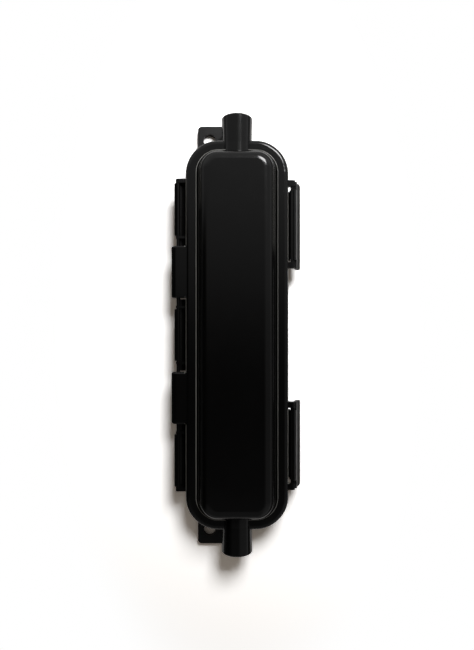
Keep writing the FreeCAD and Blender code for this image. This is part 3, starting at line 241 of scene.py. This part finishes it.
def lid_wear_and_light_masks(tree, place):
    """Three masks: the lid's rubbed edges with their painted highlight, the dome's steep long
    walls for painted shade, and their painted reflection.
    """
    parts = add_node(tree, "ShaderNodeSeparateXYZ", inputs={"Vector": place})
    reach = []
    for axis, centre in zip("XY", CORNER_CENTRE):
        size = add_node(tree, "ShaderNodeMath", {"operation": "ABSOLUTE"}, {
            0: parts.outputs[axis],
        })
        past = add_node(tree, "ShaderNodeMath", {"operation": "SUBTRACT"}, {
            0: size.outputs[0], 1: centre,
        })
        kept = add_node(tree, "ShaderNodeMath", {"operation": "MAXIMUM"}, {
            0: past.outputs[0], 1: 0.0,
        })
        reach.append(kept.outputs[0])
    square = add_node(tree, "ShaderNodeCombineXYZ", inputs={"X": reach[0], "Y": reach[1]})
    radius = add_node(tree, "ShaderNodeVectorMath", {"operation": "LENGTH"}, {
        0: square.outputs[0],
    })
    ledge_off, flange_off = [
        add_node(tree, "ShaderNodeMath", {"operation": "SUBTRACT"}, {
            0: radius.outputs["Value"], 1: corner,
        })
        for corner in (LEDGE_CORNER, FLANGE_CORNER)
    ]
    # The paler grey on the ledge, rub and painted highlight, is held down on the latch side, which
    # the lamp lights more.
    worn_and_lit = add_node(tree, "ShaderNodeMapRange", {}, {
        "Value": parts.outputs["X"], "From Min": -LEDGE_REACH, "From Max": LEDGE_REACH,
        "To Min": 1.0, "To Max": LIT_SIDE_RUB_SHARE,
    })
    crest = edge_rub_and_highlight(
        tree, ledge_off.outputs[0], parts.outputs["Z"], LEDGE_FADE, LEDGE_HEIGHTS,
        worn_and_lit.outputs["Result"],
    )
    # The flange's rubbed and painted edge highlight, and the dome's walls' painted shade and
    # reflection, lie along the straight sides only.
    straight = add_node(tree, "ShaderNodeMapRange", {"interpolation_type": "SMOOTHSTEP"}, {
        "Value": reach[1], "From Max": STRAIGHT_FADE, "To Min": 1.0, "To Max": 0.0,
    })
    rim = edge_rub_and_highlight(
        tree, flange_off.outputs[0], parts.outputs["Z"], FLANGE_EDGE_FADE,
        FLANGE_EDGE_HEIGHTS, straight.outputs["Result"],
    )
    rub_and_highlight = add_node(tree, "ShaderNodeMath", {"operation": "MAXIMUM"}, {0: crest, 1: rim})
    inside = add_node(tree, "ShaderNodeMath", {"operation": "LESS_THAN"}, {
        0: ledge_off.outputs[0], 1: -WALL_FOOT,
    })
    side = add_node(tree, "ShaderNodeMath", {"operation": "MULTIPLY"}, {
        0: inside.outputs[0], 1: straight.outputs["Result"],
    })
    # The steep walls, whose shine is turned down as painted shade.
    shaded_wall = add_node(tree, "ShaderNodeMapRange", {"interpolation_type": "SMOOTHSTEP"}, {
        "Value": parts.outputs["Z"], "From Min": WALL_TOP - WALL_TOP_FADE,
        "From Max": WALL_TOP + WALL_TOP_FADE, "To Min": side.outputs[0], "To Max": 0.0,
    })
    # Nearer the upper end a paler grey is painted on the walls' upper part as a reflection, from
    # further down on the latch side.
    slant = add_node(tree, "ShaderNodeMath", {"operation": "MULTIPLY_ADD"}, {
        0: parts.outputs["X"], 1: SHEEN_LEAN, 2: parts.outputs["Y"],
    })
    painted_sheen = add_node(tree, "ShaderNodeMapRange", {"interpolation_type": "SMOOTHSTEP"}, {
        "Value": slant.outputs[0], "From Min": SHEEN_START[0], "From Max": SHEEN_START[1],
        "To Max": side.outputs[0],
    })
    for bare, sheened in SHEEN_FADES:
        painted_sheen = add_node(tree, "ShaderNodeMapRange", {"interpolation_type": "SMOOTHSTEP"}, {
            "Value": parts.outputs["Z"], "From Min": bare, "From Max": sheened,
            "To Max": painted_sheen.outputs["Result"],
        })
    return rub_and_highlight.outputs[0], shaded_wall.outputs["Result"], painted_sheen.outputs["Result"]


def epdm_rubber():
    """Moulded EPDM: soft matt charcoal with a dry, fine-grained skin and paler bloom."""
    material, tree, shader, place = new_material("epdm_rubber")
    bloom = add_node(tree, "ShaderNodeTexNoise", {}, {
        "Vector": place, "Scale": per(3), "Detail": 4.0,
    })
    tint = add_node(tree, "ShaderNodeValToRGB", inputs={"Fac": bloom.outputs["Fac"]})
    set_stops(tint, [(0.35, linear("#151516")), (0.75, linear("#242425"))])
    skin = add_node(tree, "ShaderNodeTexNoise", {}, {
        "Vector": place, "Scale": per(0.25), "Detail": 2.0,
    })
    dry = add_node(tree, "ShaderNodeMapRange", {}, {
        "Value": skin.outputs["Fac"], "To Min": 0.62, "To Max": 0.82,
    })
    bump = add_node(tree, "ShaderNodeBump", {}, {
        "Height": skin.outputs["Fac"], "Strength": 0.4, "Distance": 0.03 * MM,
    })
    tree.links.new(tint.outputs["Color"], shader.inputs["Base Color"])
    tree.links.new(dry.outputs["Result"], shader.inputs["Roughness"])
    tree.links.new(bump.outputs["Normal"], shader.inputs["Normal"])
    shader.inputs["IOR"].default_value = 1.5
    return material


def zinc_plated_steel():
    """Bright zinc on rolled strip: cool silver with drawn lines and a cloudy passivate."""
    material, tree, shader, place = new_material("zinc_plated_steel")
    stretch = add_node(tree, "ShaderNodeMapping", {}, {
        "Vector": place, "Scale": (1.0, 0.06, 1.0),
    })
    # Rolling lines are about 0.05 mm apart; drawn at 0.3 mm so that they show.
    lines = add_node(tree, "ShaderNodeTexNoise", {}, {
        "Vector": stretch.outputs["Vector"], "Scale": per(0.3), "Detail": 3.0,
    })
    cloud = add_node(tree, "ShaderNodeTexNoise", {}, {
        "Vector": place, "Scale": per(2.5), "Detail": 3.0,
    })
    tint = add_node(tree, "ShaderNodeValToRGB", inputs={"Fac": cloud.outputs["Fac"]})
    set_stops(tint, [
        (0.3, linear("#b4b8bd")), (0.55, linear("#c9ccce")), (0.8, linear("#d2cec2")),
    ])
    grain = add_node(tree, "ShaderNodeMapRange", {}, {
        "Value": lines.outputs["Fac"], "From Min": 0.3, "From Max": 0.7,
        "To Min": 0.24, "To Max": 0.42,
    })
    bump = add_node(tree, "ShaderNodeBump", {}, {
        "Height": lines.outputs["Fac"], "Strength": 0.25, "Distance": 0.02 * MM,
    })
    tree.links.new(tint.outputs["Color"], shader.inputs["Base Color"])
    tree.links.new(grain.outputs["Result"], shader.inputs["Roughness"])
    tree.links.new(bump.outputs["Normal"], shader.inputs["Normal"])
    shader.inputs["Metallic"].default_value = 1.0
    return material


def ivory_abs():
    """Natural ABS from a spark-eroded tool: warm off-white with a soft satin grain."""
    material, tree, shader, place = new_material("ivory_abs")
    flow = add_node(tree, "ShaderNodeTexNoise", {}, {
        "Vector": place, "Scale": per(12), "Detail": 3.0,
    })
    tint = add_node(tree, "ShaderNodeValToRGB", inputs={"Fac": flow.outputs["Fac"]})
    set_stops(tint, [(0.3, linear("#d3d0c6")), (0.7, linear("#dedcd4"))])
    grain = add_node(tree, "ShaderNodeTexNoise", {}, {
        "Vector": place, "Scale": per(0.2), "Detail": 2.0,
    })
    satin = add_node(tree, "ShaderNodeMapRange", {}, {
        "Value": grain.outputs["Fac"], "To Min": 0.38, "To Max": 0.56,
    })
    bump = add_node(tree, "ShaderNodeBump", {}, {
        "Height": grain.outputs["Fac"], "Strength": 0.2, "Distance": 0.02 * MM,
    })
    tree.links.new(tint.outputs["Color"], shader.inputs["Base Color"])
    tree.links.new(satin.outputs["Result"], shader.inputs["Roughness"])
    tree.links.new(bump.outputs["Normal"], shader.inputs["Normal"])
    shader.inputs["IOR"].default_value = ABS_IOR
    return material


# How finely the screws are cut: corners round the head, rings over its dome, corners
# round the shank, steps in a turn of the thread.
HEAD_CORNERS = 40
HEAD_RINGS = 10
SHANK_CORNERS = 24
THREAD_STEPS = 20
# The head's dome falls with this power of the radius.
DOME_FALL = 3.0
# The thread starts and ends this many of its depths inside the shank's length.
THREAD_INSET = 1.25
# Points closer than this are one, and edges that bend less than this are smooth.
MERGE_GAP = 0.004 * MM
SMOOTH_BEND = math.radians(32)
TURN_SEED = 11


def pan_head_screw_tree():
    """Geometry nodes: one cross-recess screw on each input point, head on the seat."""
    tree = bpy.data.node_groups.new("pan_head_screws", "GeometryNodeTree")
    tree.interface.new_socket("Seats", in_out="INPUT", socket_type="NodeSocketGeometry")
    for label in (
        "Head Radius", "Head Side", "Head Dome", "Shank Radius", "Shank Length",
        "Thread Pitch", "Thread Depth", "Recess Span", "Recess Width", "Recess Depth",
    ):
        tree.interface.new_socket(label, in_out="INPUT", socket_type="NodeSocketFloat")
    tree.interface.new_socket("Finish", in_out="INPUT", socket_type="NodeSocketMaterial")
    tree.interface.new_socket("Screws", in_out="OUTPUT", socket_type="NodeSocketGeometry")
    given = add_node(tree, "NodeGroupInput").outputs

    half_side = add_node(tree, "ShaderNodeMath", {"operation": "MULTIPLY"}, {
        0: given["Head Side"], 1: 0.5,
    })
    lift = add_node(tree, "ShaderNodeCombineXYZ", inputs={"Z": half_side.outputs[0]})
    drum = add_node(tree, "GeometryNodeMeshCylinder", {"fill_type": "TRIANGLE_FAN"}, {
        "Vertices": HEAD_CORNERS, "Fill Segments": HEAD_RINGS,
        "Radius": given["Head Radius"], "Depth": given["Head Side"],
    })
    head = add_node(tree, "GeometryNodeTransform", inputs={
        "Geometry": drum.outputs["Mesh"], "Translation": lift.outputs["Vector"],
    })
    spot = add_node(tree, "ShaderNodeSeparateXYZ", inputs={
        "Vector": add_node(tree, "GeometryNodeInputPosition").outputs["Position"],
    })
    flat = add_node(tree, "ShaderNodeCombineXYZ", inputs={
        "X": spot.outputs["X"], "Y": spot.outputs["Y"],
    })
    radius = add_node(tree, "ShaderNodeVectorMath", {"operation": "LENGTH"}, {
        0: flat.outputs[0],
    })
    share = add_node(tree, "ShaderNodeMath", {"operation": "DIVIDE"}, {
        0: radius.outputs["Value"], 1: given["Head Radius"],
    })
    fall = add_node(tree, "ShaderNodeMath", {"operation": "POWER"}, {
        0: share.outputs[0], 1: DOME_FALL,
    })
    crown = add_node(tree, "ShaderNodeMath", {"operation": "SUBTRACT"}, {
        0: 1.0, 1: fall.outputs[0],
    })
    rise = add_node(tree, "ShaderNodeMath", {"operation": "MULTIPLY"}, {
        0: crown.outputs[0], 1: given["Head Dome"],
    })
    on_top = add_node(tree, "ShaderNodeMath", {"operation": "GREATER_THAN"}, {
        0: spot.outputs["Z"], 1: half_side.outputs[0],
    })
    up = add_node(tree, "ShaderNodeCombineXYZ", inputs={"Z": rise.outputs[0]})
    domed = add_node(tree, "GeometryNodeSetPosition", inputs={
        "Geometry": head.outputs["Geometry"], "Selection": on_top.outputs[0],
        "Offset": up.outputs["Vector"],
    })

    top = add_node(tree, "ShaderNodeMath", {"operation": "ADD"}, {
        0: given["Head Side"], 1: given["Head Dome"],
    })
    twice = add_node(tree, "ShaderNodeMath", {"operation": "MULTIPLY"}, {
        0: given["Recess Depth"], 1: 2.0,
    })
    to_top = add_node(tree, "ShaderNodeCombineXYZ", inputs={"Z": top.outputs[0]})
    blades = []
    for wide, deep in (("Recess Span", "Recess Width"), ("Recess Width", "Recess Span")):
        size = add_node(tree, "ShaderNodeCombineXYZ", inputs={
            "X": given[wide], "Y": given[deep], "Z": twice.outputs[0],
        })
        blade = add_node(tree, "GeometryNodeMeshCube", inputs={"Size": size.outputs["Vector"]})
        moved = add_node(tree, "GeometryNodeTransform", inputs={
            "Geometry": blade.outputs["Mesh"], "Translation": to_top.outputs["Vector"],
        })
        blades.append(moved.outputs["Geometry"])
    cut = add_node(
        tree, "GeometryNodeMeshBoolean", {"operation": "DIFFERENCE", "solver": "MANIFOLD"},
        {"Mesh 1": domed.outputs["Geometry"]},
    )
    for blade in blades:
        tree.links.new(blade, cut.inputs["Mesh 2"])

    core_radius = add_node(tree, "ShaderNodeMath", {"operation": "SUBTRACT"}, {
        0: given["Shank Radius"], 1: given["Thread Depth"],
    })
    core = add_node(tree, "GeometryNodeMeshCone", {}, {
        "Vertices": SHANK_CORNERS, "Radius Top": core_radius.outputs[0],
        "Radius Bottom": core_radius.outputs[0], "Depth": given["Shank Length"],
    })
    down = add_node(tree, "ShaderNodeMath", {"operation": "MULTIPLY"}, {
        0: given["Shank Length"], 1: -1.0,
    })
    to_tip = add_node(tree, "ShaderNodeCombineXYZ", inputs={"Z": down.outputs[0]})
    shank = add_node(tree, "GeometryNodeTransform", inputs={
        "Geometry": core.outputs["Mesh"], "Translation": to_tip.outputs["Vector"],
    })
    wind = add_node(tree, "ShaderNodeMath", {"operation": "MULTIPLY_ADD"}, {
        0: given["Thread Depth"], 1: -2 * THREAD_INSET, 2: given["Shank Length"],
    })
    start = add_node(tree, "ShaderNodeMath", {"operation": "MULTIPLY_ADD"}, {
        0: given["Thread Depth"], 1: THREAD_INSET, 2: down.outputs[0],
    })
    to_start = add_node(tree, "ShaderNodeCombineXYZ", inputs={"Z": start.outputs[0]})
    turns = add_node(tree, "ShaderNodeMath", {"operation": "DIVIDE"}, {
        0: wind.outputs[0], 1: given["Thread Pitch"],
    })
    helix = add_node(tree, "GeometryNodeCurveSpiral", inputs={
        "Resolution": THREAD_STEPS, "Rotations": turns.outputs[0],
        "Start Radius": core_radius.outputs[0], "End Radius": core_radius.outputs[0],
        "Height": wind.outputs[0],
    })
    ridge = add_node(tree, "GeometryNodeCurvePrimitiveCircle", {"mode": "RADIUS"}, {
        "Resolution": 4, "Radius": given["Thread Depth"],
    })
    thread = add_node(tree, "GeometryNodeCurveToMesh", inputs={
        "Curve": helix.outputs["Curve"], "Profile Curve": ridge.outputs["Curve"],
        "Fill Caps": True,
    })
    wound = add_node(tree, "GeometryNodeTransform", inputs={
        "Geometry": thread.outputs["Mesh"], "Translation": to_start.outputs["Vector"],
    })
    whole = add_node(tree, "GeometryNodeMeshBoolean", {"operation": "UNION", "solver": "MANIFOLD"})
    for piece in (cut.outputs["Mesh"], shank.outputs["Geometry"], wound.outputs["Geometry"]):
        tree.links.new(piece, whole.inputs["Mesh 2"])
    clean = add_node(tree, "GeometryNodeMergeByDistance", inputs={
        "Geometry": whole.outputs["Mesh"], "Distance": MERGE_GAP,
    })

    turn = add_node(tree, "FunctionNodeRandomValue", {"data_type": "FLOAT_VECTOR"}, {
        "Min": (0.0, 0.0, 0.0), "Max": (0.0, 0.0, math.tau), "Seed": TURN_SEED,
    })
    stood = add_node(tree, "GeometryNodeInstanceOnPoints", inputs={
        "Points": given["Seats"], "Instance": clean.outputs["Geometry"],
        "Rotation": turn.outputs["Value"],
    })
    real = add_node(tree, "GeometryNodeRealizeInstances", inputs={
        "Geometry": stood.outputs["Instances"],
    })
    bend = add_node(tree, "GeometryNodeInputMeshEdgeAngle")
    gentle = add_node(tree, "FunctionNodeCompare", {"operation": "LESS_THAN"}, {
        "A": bend.outputs["Unsigned Angle"], "B": SMOOTH_BEND,
    })
    smooth = add_node(tree, "GeometryNodeSetShadeSmooth", {"domain": "EDGE"}, {
        "Geometry": real.outputs["Geometry"], "Shade Smooth": gentle.outputs["Result"],
    })
    painted = add_node(tree, "GeometryNodeSetMaterial", inputs={
        "Geometry": smooth.outputs["Geometry"], "Material": given["Finish"],
    })
    add_node(tree, "NodeGroupOutput", inputs={"Screws": painted.outputs["Geometry"]})
    return tree


def stand_screws(tree, name, node, seats, values):
    """Screws on their seats as one plain mesh, in place of the model's plain ones."""
    points = bpy.data.meshes.new(f"{name}_seats")
    points.from_pydata(seats, [], [])
    maker = bpy.data.objects.new(f"{name}_maker", points)
    bpy.context.scene.collection.objects.link(maker)
    modifier = maker.modifiers.new("screws", "NODES")
    modifier.node_group = tree
    for item in tree.interface.items_tree:
        if item.in_out == "INPUT" and item.name in values:
            modifier[item.identifier] = values[item.name]
    depsgraph = bpy.context.evaluated_depsgraph_get()
    mesh = bpy.data.meshes.new_from_object(maker.evaluated_get(depsgraph), depsgraph=depsgraph)
    bpy.data.objects.remove(maker)
    piece = bpy.data.objects.new(name, mesh)
    bpy.context.scene.collection.objects.link(piece)
    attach(piece, "base")
    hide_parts(node)


# Each black finish with the roughness of its best and its most handled places. The base
# is scuffed below SCUFF_TOP, and the latches' lips begin at LIP_EDGE.
SCUFF_TOP = 3 * MM
LIP_EDGE = 25.2 * MM
black_lid = moulded_black_abs("polished_black_abs", (0.12, 0.15), lid_rub_shade_sheen=True)
black_base = moulded_black_abs("semi_gloss_black_abs", (0.13, 0.17), scuff_top=SCUFF_TOP)
black_latch = moulded_black_abs("satin_black_abs", (0.3, 0.38), lip_rub_and_highlight=LIP_EDGE)
rubber = epdm_rubber()
zinc = zinc_plated_steel()
ivory = ivory_abs()

FINISHES = {
    "base_shell": black_base,
    "lid_shell": black_lid,
    "latch_upper": black_latch,
    "latch_lower": black_latch,
    "gasket_left": rubber,
    "gasket_right": rubber,
    "cable_seal_upper": rubber,
    "cable_seal_lower": rubber,
    "cable_clamp_upper": zinc,
    "cable_clamp_lower": zinc,
    "splice_holder": ivory,
}
for node_name, finish in FINISHES.items():
    for material_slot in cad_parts[node_name].material_slots:
        material_slot.material = finish

HEAD_RADIUS = 2.3 * MM
# The height of the model's plain heads. Side and dome together stay just within it.
PLAIN_HEAD = 1.6 * MM
SCREW_SIZES = {
    "Head Radius": HEAD_RADIUS,
    "Head Side": 0.8 * MM,
    "Head Dome": 0.78 * MM,
    "Shank Radius": 1.1 * MM,
    "Thread Pitch": 0.8 * MM,
    "Thread Depth": 0.22 * MM,
    "Recess Span": 2.5 * MM,
    "Recess Width": 0.65 * MM,
    "Recess Depth": 1.0 * MM,
}
screw_tree = pan_head_screw_tree()
for node_name, spread in (("clamp_screws", (1, -1)), ("holder_screws", (0,))):
    low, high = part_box(node_name)
    reach_x = high[0] - HEAD_RADIUS
    reach_y = high[1] - HEAD_RADIUS
    seat = high[2] - PLAIN_HEAD
    spots = [(side * reach_x, end * reach_y, seat) for side in spread for end in (1, -1)]
    screw_values = {**SCREW_SIZES, "Shank Length": seat - low[2], "Finish": zinc}
    stand_screws(screw_tree, f"{node_name}_cut", node_name, spots, screw_values)


# The floor, and how far it lies below the box's back.
FLOOR_SIZE = 4.0
FLOOR_DROP = 0.05 * MM
# Half the width and length of the lit oval round the box, and the shares of them between
# which it fades into plain white.
LIT_OVAL = (58 * MM, 125 * MM)
LIT_FADE = (0.9, 1.35)
# How white the floor is to what it lights, and to the camera.
PAPER_WHITE = 0.9
CAMERA_WHITE = 1.56
# The floor as the gloss mirrors it: how white beside the box, how far from the middle
# that gives way to a dim glow, and between which Y the glow grows past the upper end.
MIRRORED_FLOOR = 0.65
MIRRORED_FADE = (31 * MM, 37 * MM)
FAR_FLOOR_GLOW = 0.03
UPPER_FLOOR_FADE = (84 * MM, 92 * MM)
UPPER_FLOOR_GLOW = 0.16

# The room as the gloss mirrors it. Every way out of the box is a unit vector: how bright
# the room is, by how far the way leans to the box's upper end.
UPPER_END_GLOW = [
    (-0.45, 0.1), (-0.3, 0.02), (-0.12, 0.008), (0.0, 0.035),
    (0.17, 0.15), (0.34, 0.26), (0.6, 0.45),
]
# The leans between which the room darkens: to the left, and short of the upper end.
DARK_LEFT = (-0.5, -0.85)
DARK_SHORT = (0.28, 0.18)
# The leans between which the room grows lighter, to the right and down to the horizon.
RIGHT_LEAN = (0.15, 0.5)
RIGHT_GLOW = 0.1
HORIZON_LEAN = (0.25, 0.0)
HORIZON_GLOW = 0.2
# A soft fill, a little warm, for all that is not mirrored.
SOFT_FILL = [0.14 * channel for channel in linear("#fff0df")]

# The camera: its height, and in pixels of the picture its focal length and its shift.
CAMERA_HEIGHT = 211.5 * MM
PICTURE_HEIGHT = 650
FOCAL_LENGTH = 500
VIEW_SHIFT = 10
SENSOR_WIDTH = 36.0
NEAREST_SEEN = 0.01


def seen_rays(tree):
    """1 on the camera's own rays, and 1 on the mirrored ones and those through glass."""
    rays = add_node(tree, "ShaderNodeLightPath").outputs
    mirrored = add_node(tree, "ShaderNodeMath", {"operation": "MAXIMUM"}, {
        0: rays["Is Glossy Ray"], 1: rays["Is Transmission Ray"],
    })
    return rays["Is Camera Ray"], mirrored.outputs[0]


def far_blend(tree, far, near, level):
    """A shader near the box that fades into an even glow further off."""
    plain = add_node(tree, "ShaderNodeEmission", inputs={
        "Color": (1.0, 1.0, 1.0, 1.0), "Strength": level,
    })
    blend = add_node(tree, "ShaderNodeMixShader", inputs={
        0: far.outputs["Result"], 1: near, 2: plain.outputs["Emission"],
    })
    return blend.outputs["Shader"]


def white_floor():
    """A large white sheet: lit near the box, so that it takes the shadow, plain beyond."""
    bpy.ops.mesh.primitive_plane_add(size=FLOOR_SIZE, location=(0.0, 0.0, -FLOOR_DROP))
    floor = bpy.context.active_object
    floor.name = "floor"
    material = bpy.data.materials.new("white_sheet")
    material.use_nodes = True
    tree = material.node_tree
    tree.nodes.clear()
    place = add_node(tree, "ShaderNodeTexCoord").outputs["Object"]
    squeezed = add_node(tree, "ShaderNodeMapping", {}, {
        "Vector": place, "Scale": (1 / LIT_OVAL[0], 1 / LIT_OVAL[1], 0.0),
    })
    radius = add_node(tree, "ShaderNodeVectorMath", {"operation": "LENGTH"}, {
        0: squeezed.outputs["Vector"],
    })
    spot = add_node(tree, "ShaderNodeSeparateXYZ", inputs={"Vector": place})
    across = add_node(tree, "ShaderNodeMath", {"operation": "ABSOLUTE"}, {0: spot.outputs["X"]})
    far, echo_far = [
        add_node(tree, "ShaderNodeMapRange", {"interpolation_type": "SMOOTHSTEP"}, {
            "Value": value, "From Min": fade[0], "From Max": fade[1],
        })
        for value, fade in (
            (radius.outputs["Value"], LIT_FADE), (across.outputs[0], MIRRORED_FADE),
        )
    ]
    paper, shown_paper, mirrored_paper = [
        add_node(tree, "ShaderNodeBsdfDiffuse", inputs={"Color": (white, white, white, 1.0)})
        for white in (PAPER_WHITE, CAMERA_WHITE, MIRRORED_FLOOR)
    ]
    # To the camera the sheet is held at white, with the shadow as deep as the light makes it.
    shown = far_blend(tree, far, shown_paper.outputs["BSDF"], 1.0)
    # The black gloss mirrors the sheet dimmer than that, and only close beside the box.
    far_glow = add_node(tree, "ShaderNodeMapRange", {"interpolation_type": "SMOOTHSTEP"}, {
        "Value": spot.outputs["Y"],
        "From Min": UPPER_FLOOR_FADE[0], "From Max": UPPER_FLOOR_FADE[1],
        "To Min": FAR_FLOOR_GLOW, "To Max": UPPER_FLOOR_GLOW,
    })
    echoed = far_blend(
        tree, echo_far, mirrored_paper.outputs["BSDF"], far_glow.outputs["Result"],
    )
    camera_ray, mirrored = seen_rays(tree)
    lit = add_node(tree, "ShaderNodeMixShader", inputs={
        0: mirrored, 1: paper.outputs["BSDF"], 2: echoed,
    })
    whole = add_node(tree, "ShaderNodeMixShader", inputs={
        0: camera_ray, 1: lit.outputs["Shader"], 2: shown,
    })
    add_node(tree, "ShaderNodeOutputMaterial", inputs={"Surface": whole.outputs["Shader"]})
    floor.data.materials.append(material)


def studio_sky():
    """White to the camera; to the gloss a dim room, lighter past the upper end and to the right.

    What is not mirrored is lit by the soft fill.
    """
    world = bpy.data.worlds.new("studio_sky")
    bpy.context.scene.world = world
    world.use_nodes = True
    tree = world.node_tree
    tree.nodes.clear()
    way = add_node(tree, "ShaderNodeSeparateXYZ", inputs={
        "Vector": add_node(tree, "ShaderNodeTexCoord").outputs["Generated"],
    })
    along = add_node(tree, "ShaderNodeMapRange", {}, {
        "Value": way.outputs["Y"], "From Min": -1.0, "From Max": 1.0,
    })
    upper_end = add_node(tree, "ShaderNodeValToRGB", inputs={"Fac": along.outputs["Result"]})
    set_stops(upper_end, [(0.5 + y / 2, (glow, glow, glow, 1.0)) for y, glow in UPPER_END_GLOW])
    left, short, right, horizon = [
        add_node(tree, "ShaderNodeMapRange", {"interpolation_type": "SMOOTHSTEP"}, {
            "Value": way.outputs[axis], "From Min": lean[0], "From Max": lean[1],
            "To Max": most,
        })
        for axis, lean, most in (
            ("X", DARK_LEFT, 1.0), ("Y", DARK_SHORT, 1.0),
            ("X", RIGHT_LEAN, RIGHT_GLOW), ("Z", HORIZON_LEAN, HORIZON_GLOW),
        )
    ]
    dark = add_node(tree, "ShaderNodeMath", {"operation": "MULTIPLY"}, {
        0: left.outputs["Result"], 1: short.outputs["Result"],
    })
    open_side = add_node(tree, "ShaderNodeMath", {"operation": "SUBTRACT"}, {
        0: 1.0, 1: dark.outputs[0],
    })
    upper = add_node(tree, "ShaderNodeMath", {"operation": "ADD"}, {
        0: upper_end.outputs["Color"], 1: horizon.outputs["Result"],
    })
    room = add_node(tree, "ShaderNodeMath", {"operation": "MULTIPLY_ADD"}, {
        0: upper.outputs[0], 1: open_side.outputs[0], 2: right.outputs["Result"],
    })
    camera_ray, mirrored = seen_rays(tree)
    unseen = add_node(tree, "ShaderNodeMix", {"data_type": "RGBA"}, {
        "Factor": mirrored, "A": SOFT_FILL, "B": room.outputs[0],
    })
    light = add_node(tree, "ShaderNodeMix", {"data_type": "RGBA"}, {
        "Factor": camera_ray, "A": unseen.outputs["Result"], "B": (1.0, 1.0, 1.0, 1.0),
    })
    glow = add_node(tree, "ShaderNodeBackground", inputs={"Color": light.outputs["Result"]})
    add_node(tree, "ShaderNodeOutputWorld", inputs={"Surface": glow.outputs["Background"]})


def softbox(name, azimuth, elevation, distance, across, up, radiance, mirrored):
    """An oblong lamp facing the box, its width along X; azimuth from +X towards +Y, degrees.

    It is either mirrored in the gloss or lights the floor and the box, as a flag and a
    diffuser would split it in a studio.
    """
    lamp = bpy.data.lights.new(name, "AREA")
    lamp.shape = "RECTANGLE"
    lamp.size = across
    lamp.size_y = up
    lamp.energy = radiance * math.pi * across * up
    holder = bpy.data.objects.new(name, lamp)
    a = math.radians(azimuth)
    e = math.radians(elevation)
    spot = Vector((math.cos(e) * math.cos(a), math.cos(e) * math.sin(a), math.sin(e)))
    holder.location = spot * distance
    side = (Vector((1.0, 0.0, 0.0)) - spot * spot.x).normalized()
    holder.rotation_euler = Matrix((side, spot.cross(side), spot)).transposed().to_euler()
    holder.visible_glossy = mirrored
    holder.visible_diffuse = not mirrored
    bpy.context.scene.collection.objects.link(holder)


def overhead_camera():
    """Straight down over the box, close enough to see the ports and lugs spread outwards."""
    data = bpy.data.cameras.new("camera")
    data.sensor_width = SENSOR_WIDTH
    data.lens = SENSOR_WIDTH * FOCAL_LENGTH / PICTURE_HEIGHT
    data.shift_y = VIEW_SHIFT / PICTURE_HEIGHT
    data.clip_start = NEAREST_SEEN
    camera = bpy.data.objects.new("camera", data)
    camera.location = (0.0, 0.0, CAMERA_HEIGHT)
    bpy.context.scene.collection.objects.link(camera)
    bpy.context.scene.camera = camera


white_floor()
studio_sky()
softbox(
    "window", azimuth=63.7, elevation=48.4, distance=1.4, across=0.48, up=0.4,
    radiance=16.0, mirrored=True,
)
softbox(
    "ceiling", azimuth=68, elevation=53, distance=0.4, across=0.15, up=0.14,
    radiance=26.0, mirrored=False,
)
overhead_camera()
bpy.context.scene.view_settings.view_transform = "Standard"
